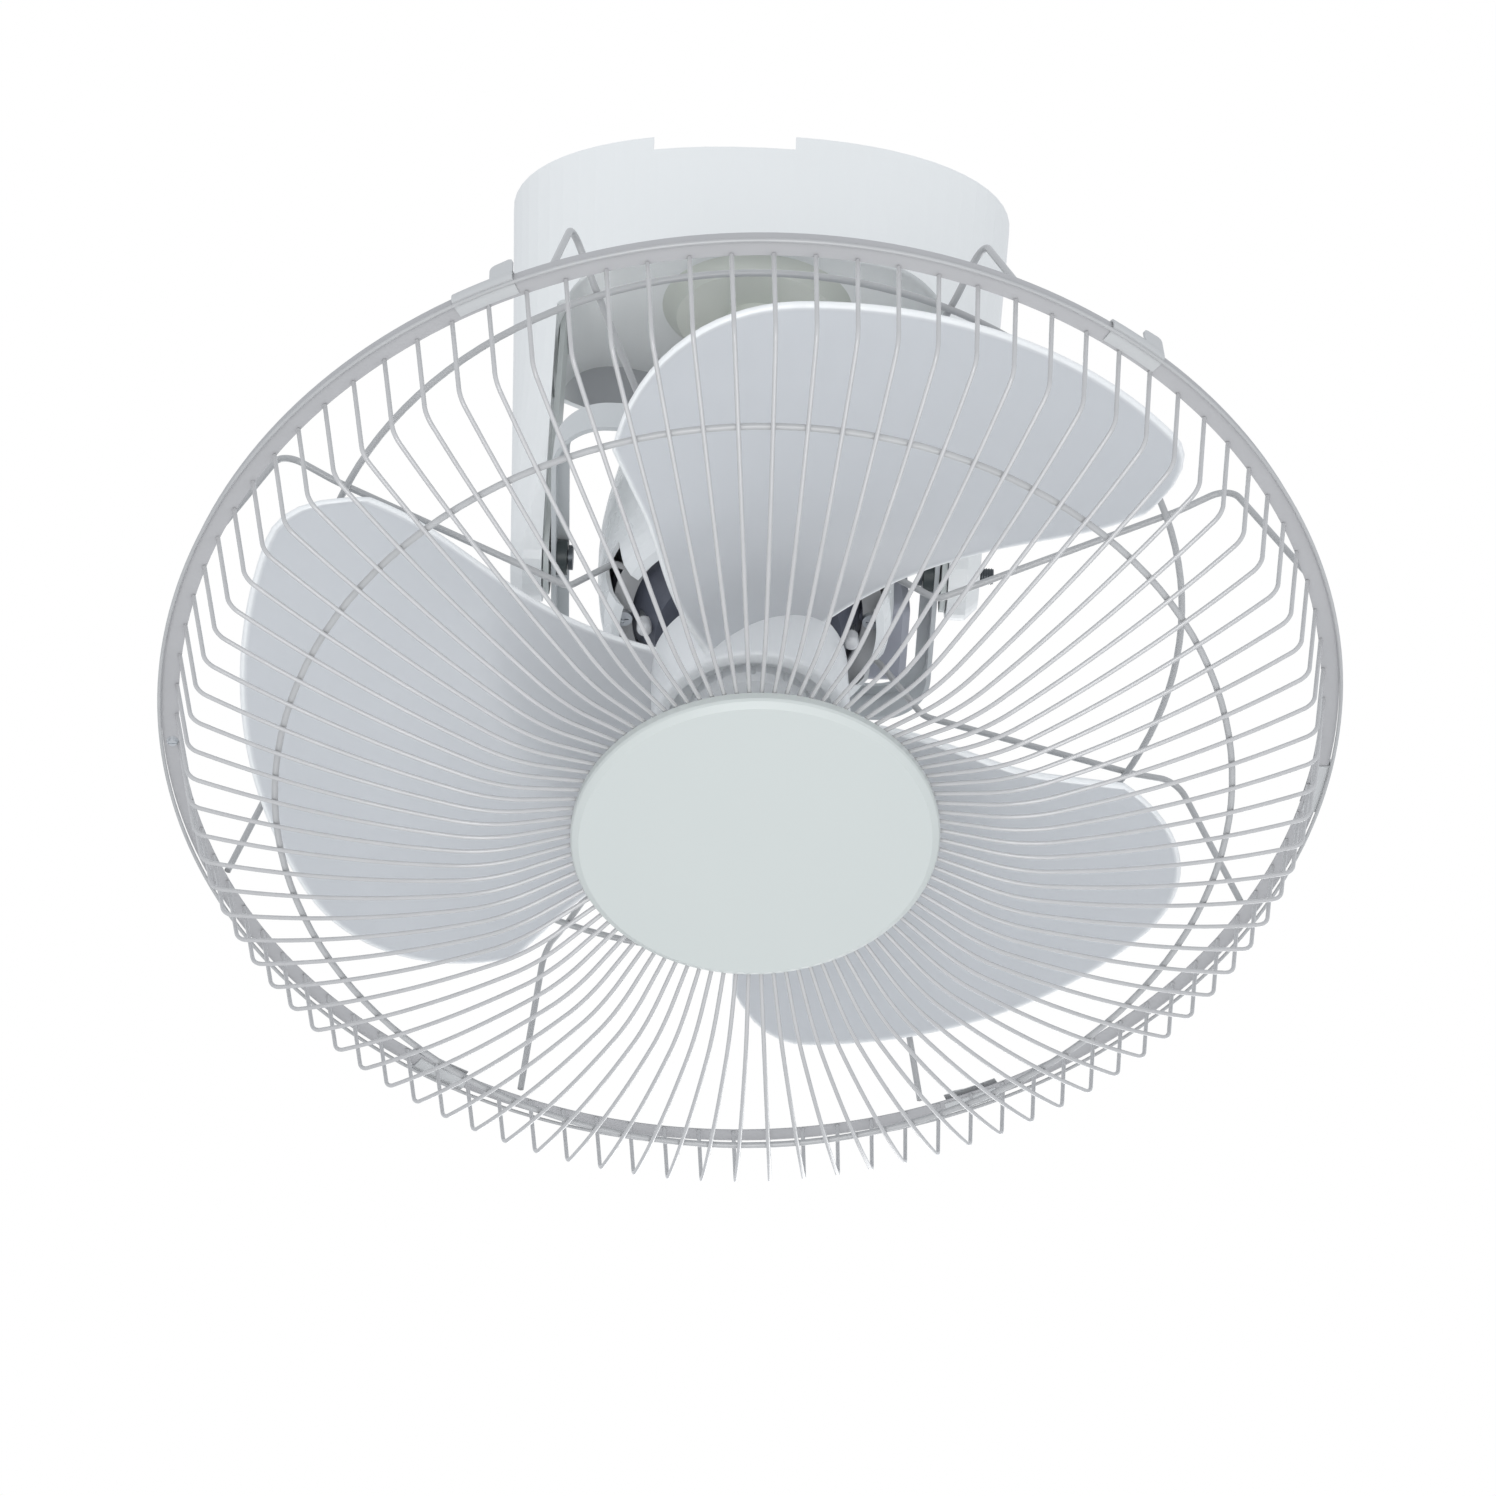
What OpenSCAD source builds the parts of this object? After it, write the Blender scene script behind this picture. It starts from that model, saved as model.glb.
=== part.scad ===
// Orbital ceiling fan, 16-inch class, all lengths in millimetres.
// The origin is the centre of the ceiling face and +Z points up into the ceiling.
// The head hangs on a gimbal: the frame tips about X on the fork, the motor swings in the frame.
// Head pieces are drawn about the pivot point with their axis upright, front of the fan downwards,
// and head_frame() then tips them to the resting pose.

/* [Ceiling plate] */
// Length of the steel plate
plate_l = 150; // [130:1:180]
// Width of the steel plate
plate_w = 64; // [50:1:80]
// Thickness of the steel plate
plate_t = 3; // [2:0.5:5]
// Distance between the two fixing slots
slot_spacing = 116; // [112:1:120]
// Radius of a fixing slot's ends
slot_r = 3.25; // [2.5:0.25:4]
// Length of a fixing slot between the centres of its ends
slot_length = 6; // [4:0.5:7]

/* [Canopy] */
// Width of the canopy at the ceiling, left to right
canopy_w = 206; // [200:1:220]
// Depth of the canopy at the ceiling, front to rear
canopy_d = 120; // [100:1:140]
// Roundness of the oval outline, 2 is an ellipse
canopy_power = 2.2; // [2:0.1:3]
// Wall of the canopy moulding
canopy_wall = 2.6; // [2:0.2:4]
// Draft of the canopy sides, as a share of the depth below the ceiling
canopy_draft = 0.066; // [0.03:0.002:0.09]
// Depth of the front lip below the ceiling
lip_drop = 54; // [50:1:60]
// Depth of the rear lip below the ceiling
rear_lip_drop = 69; // [62:1:72]
// Depth of the vaulted underside below the ceiling
vault_drop = 43; // [38:1:48]
// Corner radius of the vault
vault_round = 28; // [20:1:36]
// Half width of a cheek, front to rear, at its round end
cheek_r = 18; // [15:0.5:24]
// Edge rounding of a cheek's outer end
cheek_edge = 5; // [2:0.5:7]
// Width of the notch in the rim
notch_w = 57; // [30:1:70]
// Depth of the notch in the rim
notch_h = 6; // [3:0.5:10]
// Centre of the notch, left of the middle
notch_x = 16; // [0:1:30]

/* [Fork] */
// Distance from the ceiling to the pivot axis
pivot_drop = 165; // [150:1:190]
// Thickness of the steel strip
fork_t = 2; // [1.5:0.25:3]
// Width of the steel strip
fork_w = 32; // [26:1:36]
// Length of a leg below the pivot axis
leg_end = 15; // [10:0.5:17]
// Gap between the fork leg and the gimbal frame
leg_gap = 0.8; // [0.5:0.1:1.5]
// Gap between the fork leg and the cheek
cheek_gap = 0.5; // [0.3:0.1:1]
// Radius of the pivot bolts
pivot_r = 3; // [2.5:0.1:3.5]
// Length of the right bolt's thread outside the cheek
bolt_out = 6; // [3:0.5:10]
// Across-flats size of the pivot nuts
nut_af = 10; // [8:0.5:12]
// Thickness of the pivot nuts
nut_t = 4.5; // [3:0.5:6]

/* [Orbit socket] */
// Radius of the socket's base under the vault
socket_base_r = 39; // [34:0.5:44]
// Radius of the socket's lower face
socket_face_r = 33; // [28:0.5:36]
// Height of the tapered base
socket_h = 6; // [4:0.5:8]
// Radius of the stem that reaches up to the fork
socket_stem_r = 20; // [16:0.5:24]
// Radius of the nose that takes the crank pin
nose_r = 13; // [10:0.5:16]
// Distance from the pivot point up to the nose's lower face
nose_height = 101; // [100:0.5:104]
// Radius of the bowl in the nose
bowl_r = 6; // [5:0.5:8]
// Depth of the bowl in the nose
bowl_depth = 8; // [4:0.5:12]

/* [Gimbal frame] */
// Outer size of the frame, left to right
frame_w = 152.8; // [150:0.4:156]
// Outer size of the frame, front to rear
frame_d = 140; // [134:1:144]
// Outer corner radius of the frame
frame_round = 22; // [14:1:34]
// Height of the frame along the head axis
frame_h = 16; // [14:0.5:20]
// Wall of the frame
frame_t = 1.8; // [1.4:0.2:2.4]
// Width of the inward flange on the frame's rear edge
frame_flange = 4.4; // [3.6:0.2:4.6]
// Outer radius of a pivot bush's flange
bush_flange_r = 7; // [5.5:0.25:8]
// Thickness of a pivot bush's flange
bush_flange_t = 4.2; // [3:0.2:5]
// Outer radius of a pivot bush's sleeve
bush_sleeve_r = 4.6; // [4.2:0.1:5]
// Radial running clearance of pins in their bushes
run_gap = 0.05; // [0.02:0.01:0.08]

/* [Resting pose] */
// Tip of the gimbal frame towards the viewer
head_tilt = 22; // [16:1:22]
// Swing of the motor in the frame, to the right
head_swing = 3; // [0:1:6]

/* [Motor] */
// Distance from the pivot point to the guard hoop's plane
hoop_drop = 101.5; // [98:0.5:108]
// Radius of the motor housing
motor_r = 46.5; // [44:0.5:47.5]
// Radius of the motor's front face
motor_face_r = 36; // [32:0.5:38]
// Wall of the motor housing
motor_wall = 2.2; // [1.8:0.2:3]
// Distance from the pivot point to the motor's front face
motor_front = 46; // [44:0.5:48]
// Distance from the pivot point to the motor's rear face
motor_rear = 34; // [33:0.5:36]
// Length of the motor's tapered front
motor_taper = 22; // [16:0.5:24]
// Bore radius of the stator core
stator_bore = 22.6; // [20:0.2:25]
// Length of the stator core
stator_l = 26; // [20:1:28]
// Air gap between rotor and stator
air_gap = 0.5; // [0.4:0.05:0.8]
// Radial thickness of the winding rings
winding_w = 12; // [10:0.5:13]
// Length of a winding ring beyond the core
winding_l = 7; // [5:0.5:8]
// Outer radius of a ball bearing
bearing_r = 11; // [9.5:0.5:12]
// Width of a ball bearing
bearing_w = 7; // [6:0.5:8]
// Radius of the motor shaft
shaft_r = 4; // [3.5:0.1:4.5]
// Radius of the trunnion bosses on the motor
trunnion_r = 9; // [8:0.5:11]
// Reach of the trunnion bosses from the head axis
trunnion_reach = 53; // [52:0.5:54.5]
// Radius of the swing pins
swing_pin_r = 4; // [3:0.1:4.5]
// Length of a swing pin's hold in its boss
swing_hold = 8; // [6:0.5:8]
// Wall of the swing bushes
swing_bush_t = 1.5; // [1:0.1:2]
// Radius of the white stud caps
stud_cap_r = 3; // [2:0.25:4]

/* [Motor cowl] */
// Radius of the cowl at its widest
cowl_r = 58.3; // [57.5:0.1:59]
// Radius of the cowl's front rim
cowl_front_r = 49.5; // [49:0.25:51]
// Radius of the cowl at its rear shoulder
cowl_shoulder_r = 52; // [50:0.5:53]
// Radius of the cowl's rear face
cowl_rear_r = 46.5; // [46:0.25:47]
// Wall of the cowl
cowl_wall = 1.8; // [1.4:0.2:2.2]
// Distance from the pivot point to the cowl's front rim
cowl_front = 43; // [41:0.5:45]
// Distance from the pivot point to the cowl's rear shoulder
cowl_shoulder = 47; // [44:0.5:50]
// Distance from the pivot point to the cowl's rear face
cowl_rear = 60; // [58:0.5:62]
// Width of the windows in the cowl's front rim
window_w = 14; // [10:0.5:20]
// Length of the windows
window_l = 21; // [20:0.5:24]

/* [Side cover] */
// Reach of the side cover from the head axis
cover_reach = 65; // [62:0.5:66]
// Width of the side cover, front to rear
cover_w = 38; // [30:1:44]
// Height of the side cover along the head axis
cover_h = 30; // [24:1:32]
// Wall of the side cover
cover_wall = 1.6; // [1.2:0.2:2]

/* [Orbit gearbox] */
// Radius of the gearbox
gearbox_r = 38; // [37.5:0.5:40]
// Wall of the gearbox
gearbox_wall = 2; // [1.6:0.2:2.6]
// Distance from the pivot point to the gearbox's open end
gearbox_rear = 77; // [76.6:0.2:78]
// Thickness of the gearbox cover
gearbox_lid = 2.5; // [2:0.25:3]
// Outer radius of the worm on the motor shaft
worm_r = 5.5; // [5:0.1:5.8]
// Length of the worm on the motor shaft
worm_l = 10.5; // [9:0.5:12]
// Tip radius of the worm wheel
wheel_r = 10; // [9.4:0.1:10.2]
// Tip radius of the pinion on the worm wheel
pinion_r = 4.5; // [4.2:0.1:4.8]
// Outer radius of the second worm
second_worm_r = 4.5; // [4.2:0.1:4.7]
// Gap between the tips of meshing wheels
mesh_gap = 0.3; // [0.2:0.05:0.5]
// Depth of the gear teeth
tooth_depth = 1.2; // [0.8:0.1:1.4]
// Radius of the gear spindles
spindle_r = 2; // [1.5:0.1:2.2]
// Radius of the crank shaft
crank_shaft_r = 4; // [3:0.1:5]
// Thickness of the crank arm
crank_t = 4.5; // [3:0.5:5.5]
// Radius of the crank pin and its round tip
crank_pin_r = 3.5; // [3:0.1:3.5]
// Gap between the crank pin's tip and the socket nose, the linkage's open pivot
open_gap = 1; // [0.8:0.1:2]

/* [Rotor] */
// Sweep radius of the blades
blade_tip_r = 193; // [180:0.5:196]
// Angle that a blade spans at its widest
blade_span = 82.5; // [70:0.5:90]
// Angle of the first blade's leading edge, seen from the front
blade_start = 29.5; // [0:0.5:119]
// Thickness of the blades
blade_t = 2.2; // [1.8:0.2:3]
// Depth of the leading edge's outer end behind the hoop plane
blade_lead = 30.5; // [26:0.5:33]
// Depth of the trailing edge in front of the hoop plane
blade_trail = 5; // [0:0.5:8]
// Camber of the blades, rearwards at the root and forwards at the tip
blade_camber = 3; // [0:0.5:5]
// Depth that the leading corner of a blade is rounded off
lead_corner = 29.5; // [20:0.5:36]
// Depth that the trailing corner of a blade is rounded off
trail_corner = 47; // [36:0.5:56]
// Angle that the leading edge sweeps forwards from root to tip
lead_sweep = 13; // [6:0.5:16]
// Angle that the trailing edge sweeps forwards from root to tip
trail_sweep = 7; // [3:0.5:9]
// Outer radius of the hub
hub_r = 37.6; // [35:0.2:39]
// Radius of the recess in the hub's front
recess_r = 32.5; // [30:0.5:33]
// Depth of the hub's front face behind the hoop plane
hub_front = 0.5; // [0:0.5:2]
// Length of the hub
hub_l = 37; // [35:0.5:38]
// Depth of the recess
recess_l = 10; // [8:0.5:12]
// Radius of the spinner nut
spinner_r = 24; // [20:0.5:28]
// Depth of the spinner nut's face behind the hub's front face
spinner_in = 1.5; // [0:0.5:2]

/* [Guard] */
// Outer radius of the hoop
hoop_r = 220; // [218:0.5:224]
// Radial depth of the hoop's channel
hoop_t = 6.8; // [6.2:0.2:7.4]
// Width of the hoop's channel along the axis
hoop_w = 4.4; // [4.4:0.2:5.4]
// Sheet thickness of the hoop
hoop_sheet = 0.5; // [0.4:0.05:0.5]
// Radius of the two rim wires inside the hoop
rim_wire_r = 0.8; // [0.6:0.05:0.8]
// Number of front ribs
rib_count = 94; // [80:1:104]
// Radius of the rib wire
rib_r = 0.9; // [0.8:0.05:1.2]
// Radius of the front ring's wire
front_ring_wire_r = 1.2; // [1:0.1:2]
// Radius of the front ring
front_ring_r = 174.6; // [160:0.2:182]
// Radius, from the axis, of the shoulder bend's centre
shoulder_r = 202.8; // [200:0.2:205]
// Distance from the hoop plane to the shoulder bend's centre
shoulder_d = 34.4; // [33:0.2:36]
// Bend radius of the shoulder
shoulder_bend = 4.5; // [3.5:0.25:6]
// Slope of the dome where it meets the shoulder
dome_slope = 22.5; // [21:0.5:24]
// Radius of the dome's curve
dome_r = 390; // [370:1:420]
// Radius, from the axis, at which the dome bends over its crown
crown_start = 110; // [104:1:116]
// Bend radius of the crown
crown_bend = 58; // [50:1:64]
// Slope of the dished middle
dish_slope = 17; // [15:0.5:18]
// Radius at which the ribs end under the badge
rib_in_r = 56; // [54:0.5:57]
// Number of rear spokes
spoke_count = 8; // [8:1:8]
// Radius of the spoke wire
spoke_r = 1.3; // [1.1:0.1:1.6]
// Radius at which the spokes turn back
apex_r = 193; // [188:0.5:196]
// Depth of that turn behind the hoop plane
apex_d = 62; // [56:0.5:66]
// Bend radius of that turn
apex_bend = 9; // [6:0.5:14]
// Radius at which the spokes dip to the motor
dip_r = 76; // [72:0.5:80]
// Depth of that dip behind the hoop plane
dip_d = 47; // [45:0.5:49]
// Radius at which the spokes reach their seat
seat_r = 57; // [56:0.5:60]
// Radius at which the spokes end
spoke_in_r = 47.5; // [47:0.5:49]
// Radius of the rear ring
rear_ring_r = 167.6; // [150:0.2:176]
// Radius of the rear ring's wire
rear_ring_wire_r = 1.3; // [1.1:0.1:1.6]
// Outer radius of the plate that holds the spokes to the motor
mount_plate_r = 53; // [52:0.25:53.4]
// Thickness of that plate
mount_plate_t = 2; // [1.6:0.2:2.4]
// Angle of the first clip, below the right-hand side
clip_start = 3.4; // [-4:0.2:5]
// Length of a clip's body round the hoop
clip_l = 26; // [20:1:30]
// Width of a clip's body along the axis
clip_w = 7.4; // [7:0.2:9]
// Thickness of a clip outside the hoop
clip_t = 1.6; // [1.2:0.2:2.4]
// Width of a clip's tab
clip_tab_w = 9; // [6:0.5:12]
// Reach of a clip's tab
clip_tab_out = 7; // [4:0.5:10]

/* [Badge] */
// Radius of the badge
badge_r = 67.2; // [66:0.2:70]
// Thickness of the badge at its edge
badge_edge = 4; // [3.5:0.5:6]
// Height of the badge's bevel
badge_bevel = 1.5; // [1:0.25:2.5]
// Wall of the badge
badge_wall = 1.8; // [1.4:0.2:2]
// Radius of the back plate
back_plate_r = 60; // [58:0.5:61]

/* [Fasteners] */
// Shank radius of the small screws
screw_r = 1.9; // [1.5:0.1:2.2]
// Head radius of the small screws
screw_head_r = 3.5; // [3:0.1:4]
// Head height of the small screws
screw_head_h = 2; // [1.5:0.1:2.4]
// Radial clearance of a screw in a plain hole
hole_gap = 0.3; // [0.2:0.05:0.5]

/* [Hidden] */
$fn = 64;
eps = 0.01;
lap = 0.25;
lap_grow = 0.02;

// Derived sizes of the mounting
leg_in = frame_w / 2 + leg_gap;
leg_out = leg_in + fork_t;
cheek_in = leg_out + cheek_gap;
cheek_out = canopy_w / 2 - canopy_draft * pivot_drop;
bridge_z = -plate_t - fork_t;
vault_z = -vault_drop;
boss_z = -(pivot_drop - nose_height);

// Derived sizes of the head
spindle_y = -(worm_r + mesh_gap + wheel_r);
worm_z = motor_rear + 2.5 + wheel_r;
second_z = worm_z + wheel_r + second_worm_r + mesh_gap + 0.3;
crank_r = abs(spindle_y) - mesh_gap - second_worm_r;
crank_reach = nose_height - open_gap - crank_pin_r;
crank_z = gearbox_rear + gearbox_lid + 1;
seat_z = -(motor_front - 15);
spoke_seat_z = seat_z + spoke_r + lap_grow + 0.01;
hub_z = -hoop_drop + hub_front;
stator_z = -9 - stator_l / 2;
stator_r = motor_r - motor_wall - 0.04;
shell_z = -trunnion_r - 1;
cover_y = 6;
shaft_front = hub_z + spinner_in + 2;
pin_r = 1.4;
pin_z = hub_z + recess_l + 8;
gear_x = 11;
gear_w = 6;
hoop_screw_a = 178.4;
hoop_screw_place_r = hoop_r - hoop_t + 3.2;
hoop_screw_r = 1.1;
standoff_hold = 10;
spindle_l = 52;
tapped_r = screw_r + 0.03;
slot_room = 3;
bolt_head_h = 1.8;
lug_r = 3.6;
lug_place_r = gearbox_r + 3.8;
wheel_teeth = 20;
pinion_teeth = 10;
transfer_teeth = 20;
crank_teeth = 20;
second_starts = 4;
frame_in = frame_w / 2 - frame_t;
frame_in_d = frame_d / 2 - frame_t;
rib_hold = (rib_r + lap_grow + 0.05) / cos(dish_slope);
badge_back = dish_line(badge_r) + rib_hold;
plate_in = rib_in_r - 0.7;
plate_rear = dish_line(plate_in) - rib_hold - 2;
plate_front = dish_line(rib_in_r) + rib_r;

white = "#e8ecee";
light_grey = "#c3c6c8";
dark_grey = "#62667a";
steel = "#9a9da0";
black = "#2b2f31";
blade_white = "#d5dbe6";
brass = "#b9a05c";
copper = "#b87333";

// Poses of the three levels
module frame_pose() {
    translate([0, 0, -pivot_drop]) rotate([-head_tilt, 0, 0]) children();
}
module head_frame() {
    frame_pose() rotate([0, -head_swing, 0]) children();
}
module guard_frame() {
    head_frame() translate([0, 0, -hoop_drop]) children();
}
module around(count, start = 0) {
    for (i = [0 : count - 1]) rotate([0, 0, start + i * 360 / count]) children();
}
module mirror_pair() {
    children();
    mirror([1, 0, 0]) children();
}

// A pan-head screw with its head's underside at the origin and its shank along -Z
module screw(length, shank = screw_r, head = screw_head_r) {
    translate([0, 0, -length]) cylinder(r = shank, h = length + eps);
    difference() {
        cylinder(r = head, h = screw_head_h);
        for (a = [0, 90]) rotate([0, 0, a])
            translate([-head * 0.6, -0.4, screw_head_h * 0.55]) cube([head * 1.2, 0.8, screw_head_h]);
    }
}

// Straight wire between two points of the X-Z plane, lapping over the bends at its ends
module wire(p, q, r) {
    d = q - p;
    translate([p.x, 0, p.y]) rotate([0, atan2(d.x, d.y), 0]) translate([0, 0, -lap])
        cylinder(r = r + lap_grow, h = norm(d) + 2 * lap, $fn = 20);
}
// Bent wire round the centre c of the X-Z plane, angles from +X towards +Z
module bent_wire(c, bend, a0, a1, r, smooth = 96) {
    translate([c.x, 0, c.y]) rotate([90, 0, 0]) rotate([0, 0, a0])
        rotate_extrude(angle = a1 - a0, $fn = smooth) translate([bend, 0]) circle(r = r, $fn = 20);
}
// Ring of wire round the axis
module wire_ring(radius, r) {
    rotate_extrude($fn = 180) translate([radius, 0]) circle(r = r, $fn = 20);
}

// Points of an oval outline with half axes a and b
function oval(a, b, n = 64) = [for (i = [0 : n - 1]) let (t = i * 360 / n)
    [a * sign(cos(t)) * pow(abs(cos(t)), 2 / canopy_power),
     b * sign(sin(t)) * pow(abs(sin(t)), 2 / canopy_power)]];
module oval_slab(inset, z, keep = -1) {
    shrink = canopy_draft * abs(z) + inset;
    translate([0, 0, z - eps]) linear_extrude(eps) intersection() {
        polygon(oval(canopy_w / 2 - shrink, canopy_d / 2 - shrink * 0.5 - inset * 0.5));
        translate([keep < 0 ? -canopy_w : keep, -canopy_d]) square(2 * canopy_w);
    }
}
module cheek_disc(inset) {
    r = cheek_r - inset;
    translate([0, 0, -pivot_drop]) rotate([0, 90, 0]) {
        translate([0, 0, cheek_in]) cylinder(r = r, h = cheek_out - inset - cheek_edge - cheek_in, $fn = 32);
        translate([0, 0, cheek_in]) cylinder(r = r - cheek_edge, h = cheek_out - inset - cheek_in, $fn = 32);
    }
}
module canopy_body(inset) {
    hull() {
        oval_slab(inset, 0);
        oval_slab(inset, -rear_lip_drop);
    }
    mirror_pair() hull() {
        oval_slab(inset, -rear_lip_drop, cheek_in - 10);
        cheek_disc(inset);
    }
}
// The arched tunnel between the cheeks, as a profile seen from the front
module vault_profile(top, grow = 0) {
    half = cheek_in + grow;
    round_r = vault_round + grow;
    crown = top + grow;
    for (s = [-1, 1]) translate([s * (half - round_r), crown - round_r]) circle(r = round_r, $fn = 48);
    translate([-(half - round_r), crown - round_r]) square([2 * (half - round_r), round_r]);
    translate([-half, -2 * pivot_drop]) square([2 * half, 2 * pivot_drop + crown - round_r]);
}
module tunnel(top, half_depth, grow = 0) {
    rotate([90, 0, 0]) translate([0, 0, -half_depth]) linear_extrude(2 * half_depth)
        vault_profile(top, grow);
}

module ceiling_plate() {
    color(steel) difference() {
        translate([-plate_l / 2, -plate_w / 2, -plate_t]) cube([plate_l, plate_w, plate_t]);
        translate([0, 0, -plate_t - 1]) linear_extrude(plate_t + 2) slots(slot_r);
        fork_screw_places() translate([0, 0, -1]) cylinder(r = tapped_r, h = plate_t + 2);
        standoff_places() translate([0, 0, -plate_t - 1]) cylinder(r = screw_head_r + hole_gap, h = plate_t + 2);
    }
}
module slots(r) {
    for (s = [-1, 1]) translate([s * slot_spacing / 2, 0]) {
        for (t = [-1, 1]) translate([t * slot_length / 2, 0]) circle(r = r);
        square([slot_length, 2 * r], center = true);
    }
}
module fork_screw_places() {
    for (x = [-1, 1], y = [-1, 1])
        translate([x * (socket_stem_r + 8), y * (fork_w / 2 - screw_head_r - 2), -plate_t]) children();
}
module fork_bracket() {
    color(light_grey) difference() {
        union() {
            translate([-leg_out, -fork_w / 2, bridge_z]) cube([2 * leg_out, fork_w, fork_t]);
            mirror_pair() translate([leg_in, 0, 0]) rotate([90, 0, 90]) linear_extrude(fork_t) {
                translate([0, -pivot_drop]) circle(r = leg_end);
                translate([-leg_end, -pivot_drop]) square([2 * leg_end, pivot_drop - vault_drop]);
                translate([-fork_w / 2, -vault_drop]) square([fork_w, vault_drop + bridge_z + fork_t]);
            }
        }
        mirror_pair() translate([leg_in - 1, 0, -pivot_drop]) rotate([0, 90, 0])
            cylinder(r = pivot_r + run_gap, h = fork_t + 2);
        fork_screw_places() translate([0, 0, -fork_t - 1]) cylinder(r = screw_r + hole_gap, h = fork_t + 2);
        translate([0, 0, bridge_z - 1]) linear_extrude(fork_t + 2) slots(slot_r + slot_room);
        socket_screw_places() translate([0, 0, bridge_z - 1]) cylinder(r = tapped_r, h = fork_t + 2);
        standoff_places() translate([0, 0, bridge_z - 1]) cylinder(r = screw_r + hole_gap, h = fork_t + 2);
    }
}
module fork_screws() {
    color(steel) fork_screw_places() translate([0, 0, -fork_t]) mirror([0, 0, 1]) screw(fork_t + plate_t - 0.4);
}
module terminal_block() {
    block = [30, 12, 9];
    color(white) translate([socket_stem_r + 5, -fork_w / 2 - block.y - 2, -plate_t - block.z]) difference() {
        cube(block);
        for (i = [0 : 2]) translate([5 + i * 10, block.y / 2, -1]) cylinder(r = 2, h = block.z - 1);
    }
}
module canopy_cover() {
    color(white) difference() {
        canopy_body(0);
        translate([0, -canopy_d, 0]) tunnel(-lip_drop, canopy_d);
        intersection() {
            tunnel(-vault_drop, canopy_d);
            union() {
                hull() {
                    oval_slab(canopy_wall, 0);
                    oval_slab(canopy_wall, -rear_lip_drop - 1);
                }
                translate([-canopy_w, -canopy_d, -rear_lip_drop - 2 * pivot_drop])
                    cube([2 * canopy_w, 2 * canopy_d, 2 * pivot_drop]);
            }
        }
        difference() {
            translate([0, 0, eps]) canopy_body(canopy_wall);
            intersection() {
                tunnel(-vault_drop, canopy_d, canopy_wall);
                translate([-cheek_in - canopy_wall, -canopy_d, -vault_drop - vault_round])
                    cube([2 * (cheek_in + canopy_wall), 2 * canopy_d, vault_drop + vault_round]);
            }
        }
        translate([-notch_x - notch_w / 2, -canopy_d, -notch_h]) cube([notch_w, canopy_d, notch_h + 1]);
        mirror_pair() translate([leg_in - 0.4, -fork_w / 2 - 0.4, -lip_drop - vault_round])
            cube([fork_t + 0.8, fork_w + 0.8, lip_drop + vault_round + 1]);
        translate([0, 0, -vault_drop - 1]) cylinder(r = socket_stem_r + 0.3, h = canopy_wall + 2);
        translate([cheek_in, 0, -pivot_drop]) rotate([0, 90, 0]) cylinder(r = pivot_r + 0.3, h = canopy_w);
    }
}
module standoff_places() {
    for (s = [-1, 1]) translate([s * (socket_stem_r + 13), 0, 0]) children();
}
module canopy_standoffs() {
    top = bridge_z;
    bottom = -vault_drop + canopy_wall;
    color(brass) standoff_places() translate([0, 0, bottom]) difference() {
        cylinder(r = 4, h = top - bottom, $fn = 6);
        translate([0, 0, top - bottom - standoff_hold - 1]) cylinder(r = tapped_r, h = standoff_hold + 2);
    }
}
module canopy_screws() {
    color(steel) standoff_places() translate([0, 0, -plate_t]) screw(fork_t + standoff_hold);
}
module socket_screw_places() {
    for (a = [45 : 90 : 315]) rotate([0, 0, a]) translate([nose_r - 1, 0, 0]) children();
}
module orbit_socket() {
    base_z = -vault_drop - socket_h;
    color("#d8dcd6") difference() {
        union() {
            translate([0, 0, base_z]) cylinder(r1 = socket_face_r, r2 = socket_base_r, h = socket_h, $fn = 96);
            translate([0, 0, -vault_drop]) cylinder(r = socket_stem_r, h = vault_drop + bridge_z);
            translate([0, 0, boss_z]) cylinder(r1 = nose_r - 2, r2 = nose_r, h = base_z - boss_z + eps);
        }
        translate([0, 0, boss_z - eps]) cylinder(r1 = bowl_r + 1, r2 = bowl_r - 1, h = bowl_depth);
        socket_screw_places() translate([0, 0, bridge_z - 15]) cylinder(r = tapped_r, h = 16);
    }
}
module socket_screws() {
    color(steel) socket_screw_places() translate([0, 0, bridge_z]) translate([0, 0, -13])
        cylinder(r = screw_r - 0.1, h = 13 + fork_t);
}
module pivot_bolts() {
    head_x = frame_in - bush_flange_t - bolt_head_h - 0.4;
    color(black) {
        for (s = [0, 1]) mirror([s, 0, 0]) translate([head_x, 0, -pivot_drop]) rotate([0, 90, 0]) {
            cylinder(r = pivot_r + 2, h = bolt_head_h);
            cylinder(r = pivot_r, h = (s == 0 ? cheek_out + bolt_out : leg_out + nut_t + 2) - head_x);
        }
        translate([cheek_out + 0.5, 0, -pivot_drop]) rotate([0, 90, 0])
            for (i = [0 : floor(bolt_out) - 2]) translate([0, 0, i + 0.3]) cylinder(r1 = pivot_r, r2 = pivot_r + 0.35, h = 0.5);
    }
}
module pivot_nuts() {
    color(steel) mirror_pair() translate([leg_out, 0, -pivot_drop]) rotate([0, 90, 0]) difference() {
        cylinder(r = nut_af / 2 / cos(30), h = nut_t, $fn = 6);
        translate([0, 0, -1]) cylinder(r = pivot_r + 0.01, h = nut_t + 2);
    }
}

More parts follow.
